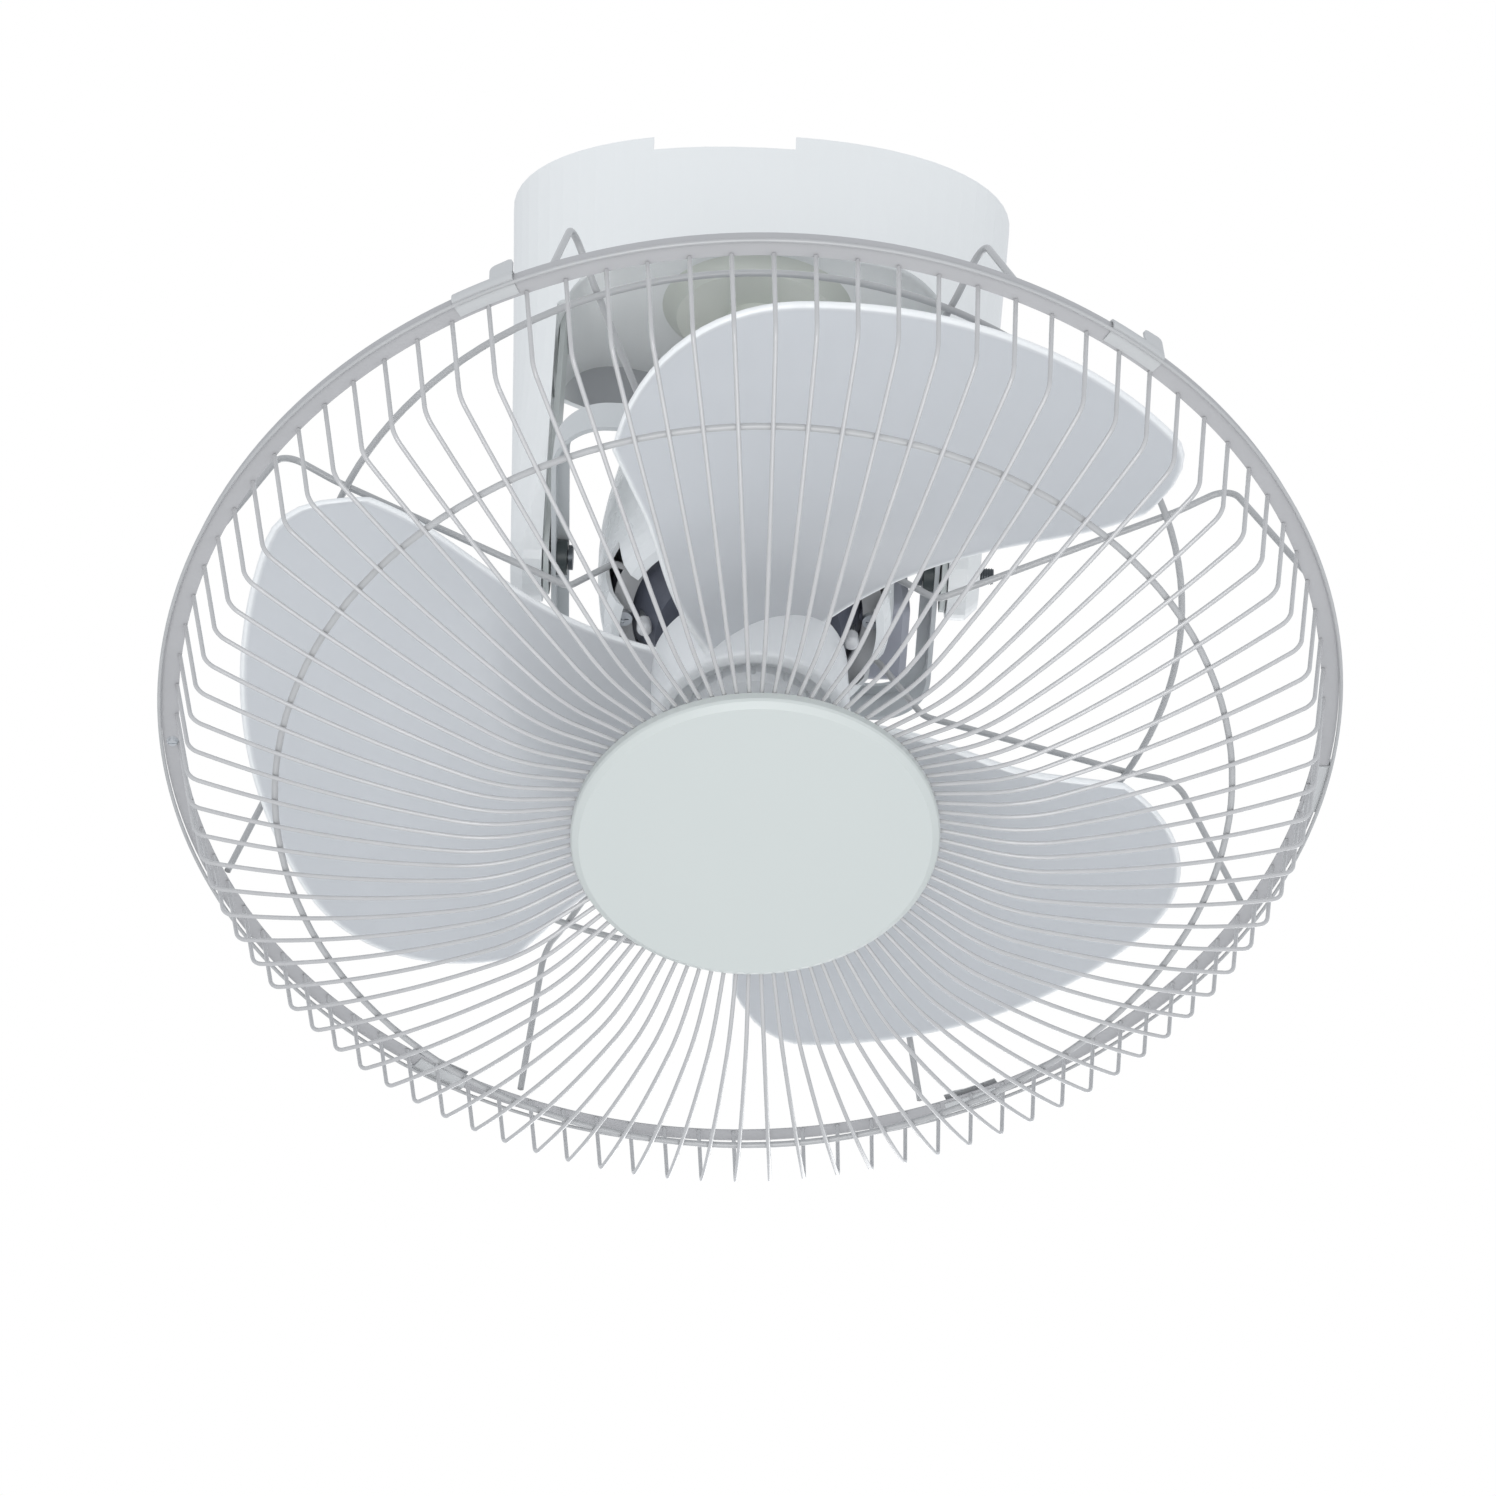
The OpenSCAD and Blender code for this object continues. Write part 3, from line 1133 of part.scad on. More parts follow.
// Front guard: each rib is one wire with a short wall, a shoulder bend, a dome arc, a crown and a dished middle
function dome_centre() = [shoulder_r, shoulder_d] + (shoulder_bend - dome_r) * [sin(dome_slope), cos(dome_slope)];
// Depth of the dome in front of the hoop plane at radius r
function dome_point(r) = dome_centre().y + sqrt(pow(dome_r, 2) - pow(r - dome_centre().x, 2));
function crown_slope() = asin((crown_start - dome_centre().x) / dome_r);
function crown_centre() = [crown_start, dome_point(crown_start)] - crown_bend * [sin(crown_slope()), cos(crown_slope())];
function crown_end() = crown_centre() + crown_bend * [-sin(dish_slope), cos(dish_slope)];
// Depth of the dished middle at radius r
function dish_line(r) = crown_end().y - (crown_end().x - r) * tan(dish_slope);
module front_rib() {
    foot = [hoop_r - hoop_t + 0.7, hoop_w / 2 + lap + 0.25];
    v = foot - [shoulder_r, shoulder_d];
    wall = atan2(-v.y, v.x) + asin(shoulder_bend / norm(v));
    wall_top = [shoulder_r, shoulder_d] + shoulder_bend * [sin(wall), cos(wall)];
    dome_lap = lap / dome_r * 180 / PI;
    mirror([0, 0, 1]) {
        wire(foot, wall_top, rib_r);
        bent_wire([shoulder_r, shoulder_d], shoulder_bend, 90 - wall, 90 - dome_slope, rib_r);
        bent_wire(dome_centre(), dome_r, 90 - dome_slope - dome_lap, 90 - crown_slope() + dome_lap,
            rib_r + lap_grow, 720);
        bent_wire(crown_centre(), crown_bend, 90 - crown_slope(), 90 + dish_slope, rib_r, 180);
        wire(crown_end(), [rib_in_r, dish_line(rib_in_r)], rib_r);
    }
}
module front_ribs() {
    color(white) guard_frame() around(rib_count, 180 / rib_count) front_rib();
}
module front_rim() {
    color(white) guard_frame() translate([0, 0, -rim_wire_r - 0.05])
        wire_ring(hoop_r - hoop_sheet - rim_wire_r - 0.05, rim_wire_r);
}
module front_ring() {
    tip = asin((front_ring_r - dome_centre().x) / dome_r);
    drop = (rib_r + lap_grow + front_ring_wire_r + 0.02) / cos(tip);
    color(white) guard_frame() translate([0, 0, drop - dome_point(front_ring_r)])
        wire_ring(front_ring_r, front_ring_wire_r);
}
module badge() {
    back = -badge_back;
    edge = back - badge_edge;
    front = edge - badge_bevel;
    color("#d2d6d2") guard_frame() difference() {
        rotate_extrude($fn = 180) polygon([[0, front], [badge_r - 2 * badge_bevel, front], [badge_r - 0.6, edge],
            [badge_r, edge + 1], [badge_r, back], [0, back]]);
        translate([0, 0, front + badge_wall])
            cylinder(r = badge_r - 2 * badge_bevel - badge_wall, h = badge_r, $fn = 96);
        translate([0, 0, edge + badge_wall]) cylinder(r = badge_r - badge_wall, h = badge_r, $fn = 180);
    }
    color("#d2d6d2") guard_frame() badge_screw_places() difference() {
        translate([0, 0, front + badge_wall - eps]) cylinder(r = 4, h = -plate_front - 0.02 - front - badge_wall);
        translate([0, 0, -plate_front - 6]) cylinder(r = tapped_r, h = 10);
    }
}
module badge_screw_places() {
    for (a = [45 : 90 : 315]) rotate([0, 0, a]) translate([rib_in_r - 11, 0, 0]) children();
}
// Plate between the rib ends, with a sloping rim that presses the ribs against the badge
module badge_back_plate() {
    hole_r = rib_in_r - 18;
    color(white) guard_frame() difference() {
        rotate_extrude($fn = 120) mirror([0, 1]) polygon([[hole_r, plate_rear], [plate_in, plate_rear],
            [back_plate_r, dish_line(back_plate_r) - rib_hold - 2], [back_plate_r, dish_line(back_plate_r) - rib_hold],
            [plate_in, plate_rear + 2], [plate_in, plate_front], [hole_r, plate_front]]);
        badge_screw_places() translate([0, 0, -plate_front - 1])
            cylinder(r = screw_r + hole_gap, h = plate_front - plate_rear + 2);
    }
}
module badge_screws() {
    color(steel) guard_frame() badge_screw_places() translate([0, 0, -plate_rear])
        screw(plate_front - plate_rear + 4.5);
}

ceiling_plate();
fork_bracket();
fork_screws();
terminal_block();
canopy_cover();
canopy_standoffs();
canopy_screws();
orbit_socket();
socket_screws();
pivot_bolts();
pivot_nuts();
gimbal_frame();
pivot_bushes();
swing_pins();
swing_bushes();
motor_front_shell();
motor_rear_shell();
motor_screws();
stud_caps();
stator_core();
stator_windings();
front_bearing();
rear_bearing();
motor_cowl();
cowl_screws();
side_cover();
capacitor();
gearbox_housing();
gearbox_lid();
gearbox_screws();
worm_wheel();
transfer_gear();
crank();
motor_shaft();
rotor_core();
drive_pin();
fan_blades();
spinner_nut();
guard_mount();
guard_screws();
rear_spokes();
rear_ring();
rear_rim();
guard_hoop();
hoop_screw();
guard_clips();
front_rim();
front_ribs();
front_ring();
badge();
badge_back_plate();
badge_screws();
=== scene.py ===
import bpy
import bmesh
import math
from mathutils import Matrix, Vector


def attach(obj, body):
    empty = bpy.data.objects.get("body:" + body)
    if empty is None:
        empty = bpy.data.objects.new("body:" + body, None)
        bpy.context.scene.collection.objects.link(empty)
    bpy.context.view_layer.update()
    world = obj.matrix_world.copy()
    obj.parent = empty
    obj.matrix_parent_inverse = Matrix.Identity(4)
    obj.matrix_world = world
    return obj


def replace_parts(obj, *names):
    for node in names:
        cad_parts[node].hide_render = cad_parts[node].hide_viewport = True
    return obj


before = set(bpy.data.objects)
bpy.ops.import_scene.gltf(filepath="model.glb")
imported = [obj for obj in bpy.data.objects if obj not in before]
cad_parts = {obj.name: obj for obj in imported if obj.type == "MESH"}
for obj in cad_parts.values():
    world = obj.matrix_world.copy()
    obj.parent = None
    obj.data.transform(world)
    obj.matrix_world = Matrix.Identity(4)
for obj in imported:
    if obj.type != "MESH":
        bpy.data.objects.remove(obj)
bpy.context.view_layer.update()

# ---------------------------------------------------------------- view and studio
# The photograph looks up at the fan from in front and a little below: a long lens 1.6 m away,
# turned 27.5 degrees upwards and rolled 2.6 degrees. Three soft panels and a pale sky light it evenly.
scene = bpy.context.scene
scene.view_settings.view_transform = "Standard"
PHOTO = 1496
FOCAL_PX = 3800
CAMERA_PLACE, CAMERA_RISE, CAMERA_ROLL = (0.0043, -1.300, -0.923), 27.5, 2.6
camera_data = bpy.data.cameras.new("camera")
camera_data.sensor_fit = "HORIZONTAL"
camera_data.sensor_width = 36.0
camera_data.lens = FOCAL_PX / PHOTO * 36.0
camera_data.clip_start = 0.05
camera_data.clip_end = 50
camera = bpy.data.objects.new("camera", camera_data)
scene.collection.objects.link(camera)
camera.matrix_world = (Matrix.Translation(CAMERA_PLACE)
                       @ Matrix.Rotation(math.radians(90 + CAMERA_RISE), 4, "X")
                       @ Matrix.Rotation(math.radians(CAMERA_ROLL), 4, "Z"))
scene.camera = camera


def softbox(name, place, aim, size, power):
    data = bpy.data.lights.new(name, "AREA")
    data.shape = "RECTANGLE"
    data.size, data.size_y = size
    data.energy = power
    lamp = bpy.data.objects.new(name, data)
    scene.collection.objects.link(lamp)
    place = Vector(place)
    turn = (Vector(aim) - place).to_track_quat("-Z", "Y").to_matrix().to_4x4()
    lamp.matrix_world = Matrix.Translation(place) @ turn


softbox("key_panel", (-0.1, -1.85, -1.2), (0, 0, -0.1), (1.2, 1.1), 14)
softbox("low_panel", (0.35, -1.0, -2.0), (0, 0, -0.12), (1.4, 1.0), 9)
softbox("back_panel", (0.5, 1.8, -0.5), (0, 0, -0.15), (1.4, 1.2), 8)

world = bpy.data.worlds.new("studio")
scene.world = world
world.use_nodes = True
wn = world.node_tree.nodes
wl = world.node_tree.links
wn.clear()
rays = wn.new("ShaderNodeLightPath")
seen_any = wn.new("ShaderNodeMath")
seen_any.operation = "MAXIMUM"
wl.new(rays.outputs["Is Camera Ray"], seen_any.inputs[0])
wl.new(rays.outputs["Is Transmission Ray"], seen_any.inputs[1])
sky = wn.new("ShaderNodeBackground")
sky.inputs["Color"].default_value = (0.93, 0.96, 1.0, 1)
sky.inputs["Strength"].default_value = 0.82
white = wn.new("ShaderNodeBackground")
white.inputs["Color"].default_value = (1, 1, 1, 1)
white.inputs["Strength"].default_value = 1.0
pick = wn.new("ShaderNodeMixShader")
wl.new(seen_any.outputs[0], pick.inputs[0])
wl.new(sky.outputs[0], pick.inputs[1])
wl.new(white.outputs[0], pick.inputs[2])
out = wn.new("ShaderNodeOutputWorld")
wl.new(pick.outputs[0], out.inputs["Surface"])

# The floor of the room lies 2.2 m under the ceiling face. It shows white to the camera.
floor_mesh = bpy.data.meshes.new("room_floor")
FLOOR_HALF, FLOOR_Z = 6, -2.2
floor_corners = [(x * FLOOR_HALF, y * FLOOR_HALF, FLOOR_Z) for x, y in ((-1, -1), (1, -1), (1, 1), (-1, 1))]
floor_mesh.from_pydata(floor_corners, [], [(0, 1, 2, 3)])
room_floor = bpy.data.objects.new("room_floor", floor_mesh)
scene.collection.objects.link(room_floor)
floor_paint = bpy.data.materials.new("room_floor")
floor_paint.use_nodes = True
fn = floor_paint.node_tree.nodes
fl = floor_paint.node_tree.links
fn.clear()
floor_rays = fn.new("ShaderNodeLightPath")
floor_matt = fn.new("ShaderNodeBsdfDiffuse")
floor_matt.inputs["Color"].default_value = (0.86, 0.86, 0.86, 1)
floor_glow = fn.new("ShaderNodeEmission")
floor_glow.inputs["Strength"].default_value = 1.0
floor_mix = fn.new("ShaderNodeMixShader")
floor_half = fn.new("ShaderNodeMath")
floor_half.operation = "MULTIPLY"
floor_half.inputs[1].default_value = 0.5
fl.new(floor_rays.outputs["Is Camera Ray"], floor_half.inputs[0])
fl.new(floor_half.outputs[0], floor_mix.inputs[0])
fl.new(floor_matt.outputs[0], floor_mix.inputs[1])
fl.new(floor_glow.outputs[0], floor_mix.inputs[2])
floor_out = fn.new("ShaderNodeOutputMaterial")
fl.new(floor_mix.outputs[0], floor_out.inputs["Surface"])
floor_mesh.materials.append(floor_paint)

# ---------------------------------------------------------------- canopy
# The ceiling canopy is one injection moulding in glossy white ABS: an oval shell with a vaulted
# underside and two hollow cheeks. Its plastic has faint flow marks and a soft orange-peel gloss. The
# inside of the rear wall has a grey painted shadow mixed into its colour.


def group_value(group, name, kind, default, low=None, high=None):
    socket = group.interface.new_socket(name=name, in_out="INPUT", socket_type=kind)
    socket.default_value = default
    if low is not None:
        socket.min_value = low
        socket.max_value = high


def moulded_skin_group():
    group = bpy.data.node_groups.new("moulded_skin", "ShaderNodeTree")
    group_value(group, "Colour", "NodeSocketColor", (0.8, 0.8, 0.8, 1))
    group_value(group, "Shade Colour", "NodeSocketColor", (0.7, 0.7, 0.7, 1))
    group_value(group, "Flow Scale", "NodeSocketFloat", 9.0)
    group_value(group, "Flow Amount", "NodeSocketFloat", 0.4, 0, 1)
    group_value(group, "Roughness", "NodeSocketFloat", 0.35, 0, 1)
    group_value(group, "Roughness Spread", "NodeSocketFloat", 0.08, 0, 1)
    group_value(group, "Grain Scale", "NodeSocketFloat", 600.0)
    results = (("Colour", "NodeSocketColor"), ("Roughness", "NodeSocketFloat"), ("Grain", "NodeSocketFloat"))
    for name, kind in results:
        group.interface.new_socket(name=name, in_out="OUTPUT", socket_type=kind)
    n, l = group.nodes, group.links
    inputs = n.new("NodeGroupInput")
    outputs = n.new("NodeGroupOutput")
    coords = n.new("ShaderNodeTexCoord")
    flow = n.new("ShaderNodeTexNoise")
    flow.inputs["Detail"].default_value = 3
    flow.inputs["Distortion"].default_value = 0.6
    l.new(coords.outputs["Object"], flow.inputs["Vector"])
    l.new(inputs.outputs["Flow Scale"], flow.inputs["Scale"])
    ease = n.new("ShaderNodeMapRange")
    ease.inputs["From Min"].default_value = 0.35
    ease.inputs["From Max"].default_value = 0.65
    l.new(flow.outputs["Fac"], ease.inputs["Value"])
    amount = n.new("ShaderNodeMath")
    amount.operation = "MULTIPLY"
    l.new(ease.outputs["Result"], amount.inputs[0])
    l.new(inputs.outputs["Flow Amount"], amount.inputs[1])
    mix = n.new("ShaderNodeMix")
    mix.data_type = "RGBA"
    l.new(amount.outputs[0], mix.inputs["Factor"])
    l.new(inputs.outputs["Colour"], mix.inputs["A"])
    l.new(inputs.outputs["Shade Colour"], mix.inputs["B"])
    l.new(mix.outputs["Result"], outputs.inputs["Colour"])
    smear = n.new("ShaderNodeTexNoise")
    smear.inputs["Scale"].default_value = 34
    smear.inputs["Detail"].default_value = 4
    l.new(coords.outputs["Object"], smear.inputs["Vector"])
    centred = n.new("ShaderNodeMath")
    centred.operation = "SUBTRACT"
    centred.inputs[1].default_value = 0.5
    l.new(smear.outputs["Fac"], centred.inputs[0])
    rough = n.new("ShaderNodeMath")
    rough.operation = "MULTIPLY_ADD"
    l.new(centred.outputs[0], rough.inputs[0])
    l.new(inputs.outputs["Roughness Spread"], rough.inputs[1])
    l.new(inputs.outputs["Roughness"], rough.inputs[2])
    l.new(rough.outputs[0], outputs.inputs["Roughness"])
    grain = n.new("ShaderNodeTexNoise")
    grain.inputs["Detail"].default_value = 2
    l.new(coords.outputs["Object"], grain.inputs["Vector"])
    l.new(inputs.outputs["Grain Scale"], grain.inputs["Scale"])
    l.new(grain.outputs["Fac"], outputs.inputs["Grain"])
    return group


moulded_skin = moulded_skin_group()


GRAIN_HEIGHT, COAT_ROUGHNESS = 0.0004, 0.1


def finish(name, colour, shade, rough=0.35, spread=0.1, flow=9.0, amount=0.4, grain=600.0, depth=0.05,
           metal=0.0, coat=0.0):
    material = bpy.data.materials.new(name)
    material.use_nodes = True
    n, l = material.node_tree.nodes, material.node_tree.links
    skin = n.new("ShaderNodeGroup")
    skin.node_tree = moulded_skin
    skin.inputs["Colour"].default_value = (*colour, 1)
    skin.inputs["Shade Colour"].default_value = (*shade, 1)
    skin.inputs["Flow Scale"].default_value = flow
    skin.inputs["Flow Amount"].default_value = amount
    skin.inputs["Roughness"].default_value = rough
    skin.inputs["Roughness Spread"].default_value = spread
    skin.inputs["Grain Scale"].default_value = grain
    bump = n.new("ShaderNodeBump")
    bump.inputs["Strength"].default_value = depth
    bump.inputs["Distance"].default_value = GRAIN_HEIGHT
    l.new(skin.outputs["Grain"], bump.inputs["Height"])
    surface = n["Principled BSDF"]
    surface.inputs["Metallic"].default_value = metal
    surface.inputs["IOR"].default_value = 1.5
    surface.inputs["Specular IOR Level"].default_value = 0.5
    surface.inputs["Coat Weight"].default_value = coat
    surface.inputs["Coat Roughness"].default_value = COAT_ROUGHNESS
    l.new(skin.outputs["Colour"], surface.inputs["Base Color"])
    l.new(skin.outputs["Roughness"], surface.inputs["Roughness"])
    l.new(bump.outputs["Normal"], surface.inputs["Normal"])
    return material


def dress(node, material):
    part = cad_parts[node]
    if not part.material_slots:
        part.data.materials.append(material)
    for slot in part.material_slots:
        slot.material = material


canopy_white = finish("canopy_white", (0.83, 0.845, 0.845), (0.80, 0.82, 0.815), rough=0.3, coat=0.15)


# Painted shade: mixes the colour towards a grey tint on forward-facing faces at the back of the inside.
def painted_rear_shade(material, tint, start, full):
    n, l = material.node_tree.nodes, material.node_tree.links
    surface = n["Principled BSDF"]
    colour = surface.inputs["Base Color"].links[0].from_socket
    coords = n.new("ShaderNodeTexCoord")
    mask = None
    for output, low, high in (("Object", start, full), ("Normal", -0.1, -0.5)):
        parts = n.new("ShaderNodeSeparateXYZ")
        ramp = n.new("ShaderNodeMapRange")
        ramp.inputs["From Min"].default_value = low
        ramp.inputs["From Max"].default_value = high
        l.new(coords.outputs[output], parts.inputs[0])
        l.new(parts.outputs["Y"], ramp.inputs["Value"])
        if mask is None:
            mask = ramp.outputs["Result"]
        else:
            both = n.new("ShaderNodeMath")
            both.operation = "MULTIPLY"
            l.new(mask, both.inputs[0])
            l.new(ramp.outputs["Result"], both.inputs[1])
            mask = both.outputs[0]
    mix = n.new("ShaderNodeMix")
    mix.data_type = "RGBA"
    mix.inputs["B"].default_value = (*tint, 1)
    l.new(mask, mix.inputs["Factor"])
    l.new(colour, mix.inputs["A"])
    l.new(mix.outputs["Result"], surface.inputs["Base Color"])


# Painted shadow on the inside of the rear wall, where it faces forward.
painted_rear_shade(canopy_white, (0.40, 0.41, 0.43), 0.03, 0.04)
dress("canopy_cover", canopy_white)

# ---------------------------------------------------------------- ceiling plate, fork and screws
# The zinc plated ceiling plate and the painted fork strip carry everything. Small zinc screws hold
# them, the fork's long legs come down through slots in the canopy to the pivots.
zinc = finish("zinc_plate", (0.62, 0.64, 0.66), (0.50, 0.53, 0.56), rough=0.38, spread=0.25, flow=30,
              amount=0.7, metal=0.9)
fork_paint = finish("fork_paint", (0.60, 0.63, 0.62), (0.55, 0.58, 0.57), rough=0.45)
dress("ceiling_plate", zinc)
dress("fork_bracket", fork_paint)
for node in ("fork_screws", "canopy_screws", "socket_screws", "swing_pins", "motor_screws", "cowl_screws",
             "gearbox_screws", "guard_screws", "hoop_screw", "badge_screws", "pivot_nuts"):
    dress(node, zinc)
terminal_white = finish("terminal_nylon", (0.72, 0.72, 0.68), (0.66, 0.66, 0.62), rough=0.5)
dress("terminal_block", terminal_white)
turned_brass = finish("turned_brass", (0.60, 0.47, 0.22), (0.52, 0.40, 0.18), rough=0.3, flow=60, metal=1.0)
dress("canopy_standoffs", turned_brass)

# ---------------------------------------------------------------- orbit socket
# A round nylon boss under the vault whose nose guides the crank pin. It is coloured a greyer, greener white
# than the canopy.
socket_nylon = finish("socket_nylon", (0.68, 0.70, 0.65), (0.63, 0.66, 0.60), rough=0.42)
dress("orbit_socket", socket_nylon)

# ---------------------------------------------------------------- pivots and gimbal frame
# Black acetal bushes turn on black oxide bolts. The frame is a drawn strip ring, painted light grey.
black_acetal = finish("black_acetal", (0.045, 0.058, 0.06), (0.03, 0.04, 0.04), rough=0.4)
black_oxide = finish("black_oxide", (0.10, 0.11, 0.12), (0.05, 0.055, 0.06), rough=0.35, flow=80, metal=0.8)
frame_paint = finish("gimbal_paint", (0.60, 0.62, 0.63), (0.54, 0.57, 0.58), rough=0.35, coat=0.2)
dress("pivot_bushes", black_acetal)
dress("pivot_bolts", black_oxide)
dress("gimbal_frame", frame_paint)
dress("swing_bushes", turned_brass)

# ---------------------------------------------------------------- motor
# Die-cast motor shells in satin blue-grey paint around the stacked stator, with copper windings,
# chromed bearings and white caps on the through studs.
motor_paint = finish("motor_paint", (0.115, 0.125, 0.16), (0.09, 0.10, 0.13), rough=0.42, flow=40, amount=0.6,
                     depth=0.25, grain=900)
cap_white = finish("cap_nylon", (0.78, 0.79, 0.80), (0.72, 0.73, 0.74), rough=0.35)
lamination = finish("stator_sheet", (0.30, 0.31, 0.33), (0.20, 0.21, 0.22), rough=0.5, flow=60, metal=0.7)
copper = finish("winding_enamel", (0.50, 0.20, 0.08), (0.36, 0.13, 0.05), rough=0.35, flow=120, metal=0.6)
bearing_chrome = finish("bearing_chrome", (0.75, 0.76, 0.78), (0.66, 0.67, 0.70), rough=0.15, metal=1.0)
dress("motor_front_shell", motor_paint)
dress("motor_rear_shell", motor_paint)
dress("stud_caps", cap_white)
dress("stator_core", lamination)
dress("rotor_core", lamination)
dress("stator_windings", copper)
dress("front_bearing", bearing_chrome)
dress("rear_bearing", bearing_chrome)

# ---------------------------------------------------------------- motor cowl and side cover
# The white rear cowl slips over the motor. The wiring cover beside it is white plastic like the cowl,
# coloured a darker purple-grey as painted shade.
cowl_white = finish("cowl_white", (0.86, 0.88, 0.885), (0.82, 0.845, 0.85), rough=0.28, coat=0.2)
# Painted shade: the side cover's purple-grey stands for the white plastic in shade.
cover_painted_shade = finish("cover_painted_shade", (0.36, 0.37, 0.42), (0.32, 0.33, 0.38), rough=0.35)
capacitor_black = finish("capacitor_black", (0.03, 0.03, 0.032), (0.02, 0.02, 0.022), rough=0.4)
dress("motor_cowl", cowl_white)
dress("side_cover", cover_painted_shade)
dress("capacitor", capacitor_black)

# ---------------------------------------------------------------- orbit gearbox
# A die-cast pot with natural acetal wheels and a brass crank on top.
cast_alloy = finish("cast_alloy", (0.56, 0.57, 0.58), (0.46, 0.47, 0.48), rough=0.45, spread=0.3, flow=50,
                    amount=0.6, metal=0.8, depth=0.3)
acetal = finish("natural_acetal", (0.76, 0.75, 0.69), (0.70, 0.69, 0.63), rough=0.4)
ground_steel = finish("ground_steel", (0.62, 0.63, 0.65), (0.5, 0.51, 0.53), rough=0.22, flow=90, metal=1.0)
dress("gearbox_housing", cast_alloy)
dress("gearbox_lid", cast_alloy)
dress("worm_wheel", acetal)
dress("transfer_gear", acetal)
dress("crank", turned_brass)
dress("motor_shaft", ground_steel)
dress("drive_pin", ground_steel)

# ---------------------------------------------------------------- blades and spinner nut
# Hub and three paddles are one glossy moulding in faintly blue white plastic. Each paddle has a
# small rounded bead round its edge. A painted highlight whitens the edges and the hub, partly for the
# thicker plastic there and partly for light caught along the rims, and a painted shade darkens each
# paddle near the hub. The nut screws on in front.
GUARD = (Matrix.Translation((0, 0, -0.165)) @ Matrix.Rotation(math.radians(-22), 4, "X")
         @ Matrix.Rotation(math.radians(-3), 4, "Y") @ Matrix.Translation((0, 0, -0.1015)))
MM = 0.001
HUB_R, HUB_L, HUB_FRONT, HUB_WALL, BOSS_R, BOSS_L = 37.6, 37.0, 0.5, 2.2, 12, 12
RECESS_R, RECESS_L, SPINNER_R, SHAFT_R = 32.5, 10.0, 24.0, 4.0
BLADE_TIP, BLADE_SPAN, BLADE_START, BLADE_T = 193.0, 82.5, 29.5, 2.2
BLADE_LEAD, BLADE_TRAIL, BLADE_CAMBER = 30.5, 5.0, 3.0
LEAD_CUT, LEAD_SHARE, LEAD_POWER, TIP_SLANT = 29.5, 0.12, 2.4, 2.5
TRAIL_CUT, TRAIL_FROM, TRAIL_POWER = 47, 0.69, 2.2
ROOT_SWEEP_LEAD, ROOT_SWEEP_TRAIL, TIP_MARGIN, PAINTED_SHADE_REACH = 13, 7, 6, 85
EDGE_STEPS = (0.0, 0.25, 0.7, 1.3, 2.0, 3.0, 4.6)
EDGE_ROUND, BEAD_H, BEAD_IN, BEAD_W, LEAST_HALF = 1.3, 0.35, 1.2, 0.9, 0.04
WEB_ROWS, WEB_COLUMNS = 30, 48


def eased(value):
    value = min(1.0, max(0.0, value))
    return value * value * (3 - 2 * value)


def blade_tip(v):
    lead = LEAD_CUT * max(0.0, 1 - v / LEAD_SHARE) ** LEAD_POWER
    trail = TRAIL_CUT * max(0.0, (v - TRAIL_FROM) / (1 - TRAIL_FROM)) ** TRAIL_POWER
    return BLADE_TIP - lead - trail - TIP_SLANT * v


def blade_place(r, v):
    first = ROOT_SWEEP_LEAD * (1 - eased((r - HUB_R) / (BLADE_TIP * 0.62)))
    last = BLADE_SPAN + ROOT_SWEEP_TRAIL * (1 - eased((r - HUB_R) / (BLADE_TIP * 0.4)))
    angle = math.radians(-(BLADE_START + first + (last - first) * v))
    spread = eased((r - HUB_R) / (BLADE_TIP * 0.36))
    outer = eased((r - BLADE_TIP * 0.52) / (BLADE_TIP * 0.47))
    root_lead, root_trail = HUB_L - 1.5, HUB_FRONT + 4.5
    lead = root_lead - (root_lead - BLADE_LEAD) * outer
    trail = root_trail - (BLADE_TRAIL + root_trail) * spread
    z = lead + (trail - lead) * v + 4 * BLADE_CAMBER * (1 - 2 * spread) * v * (1 - v)
    return Vector((r * math.cos(angle), r * math.sin(angle), z))


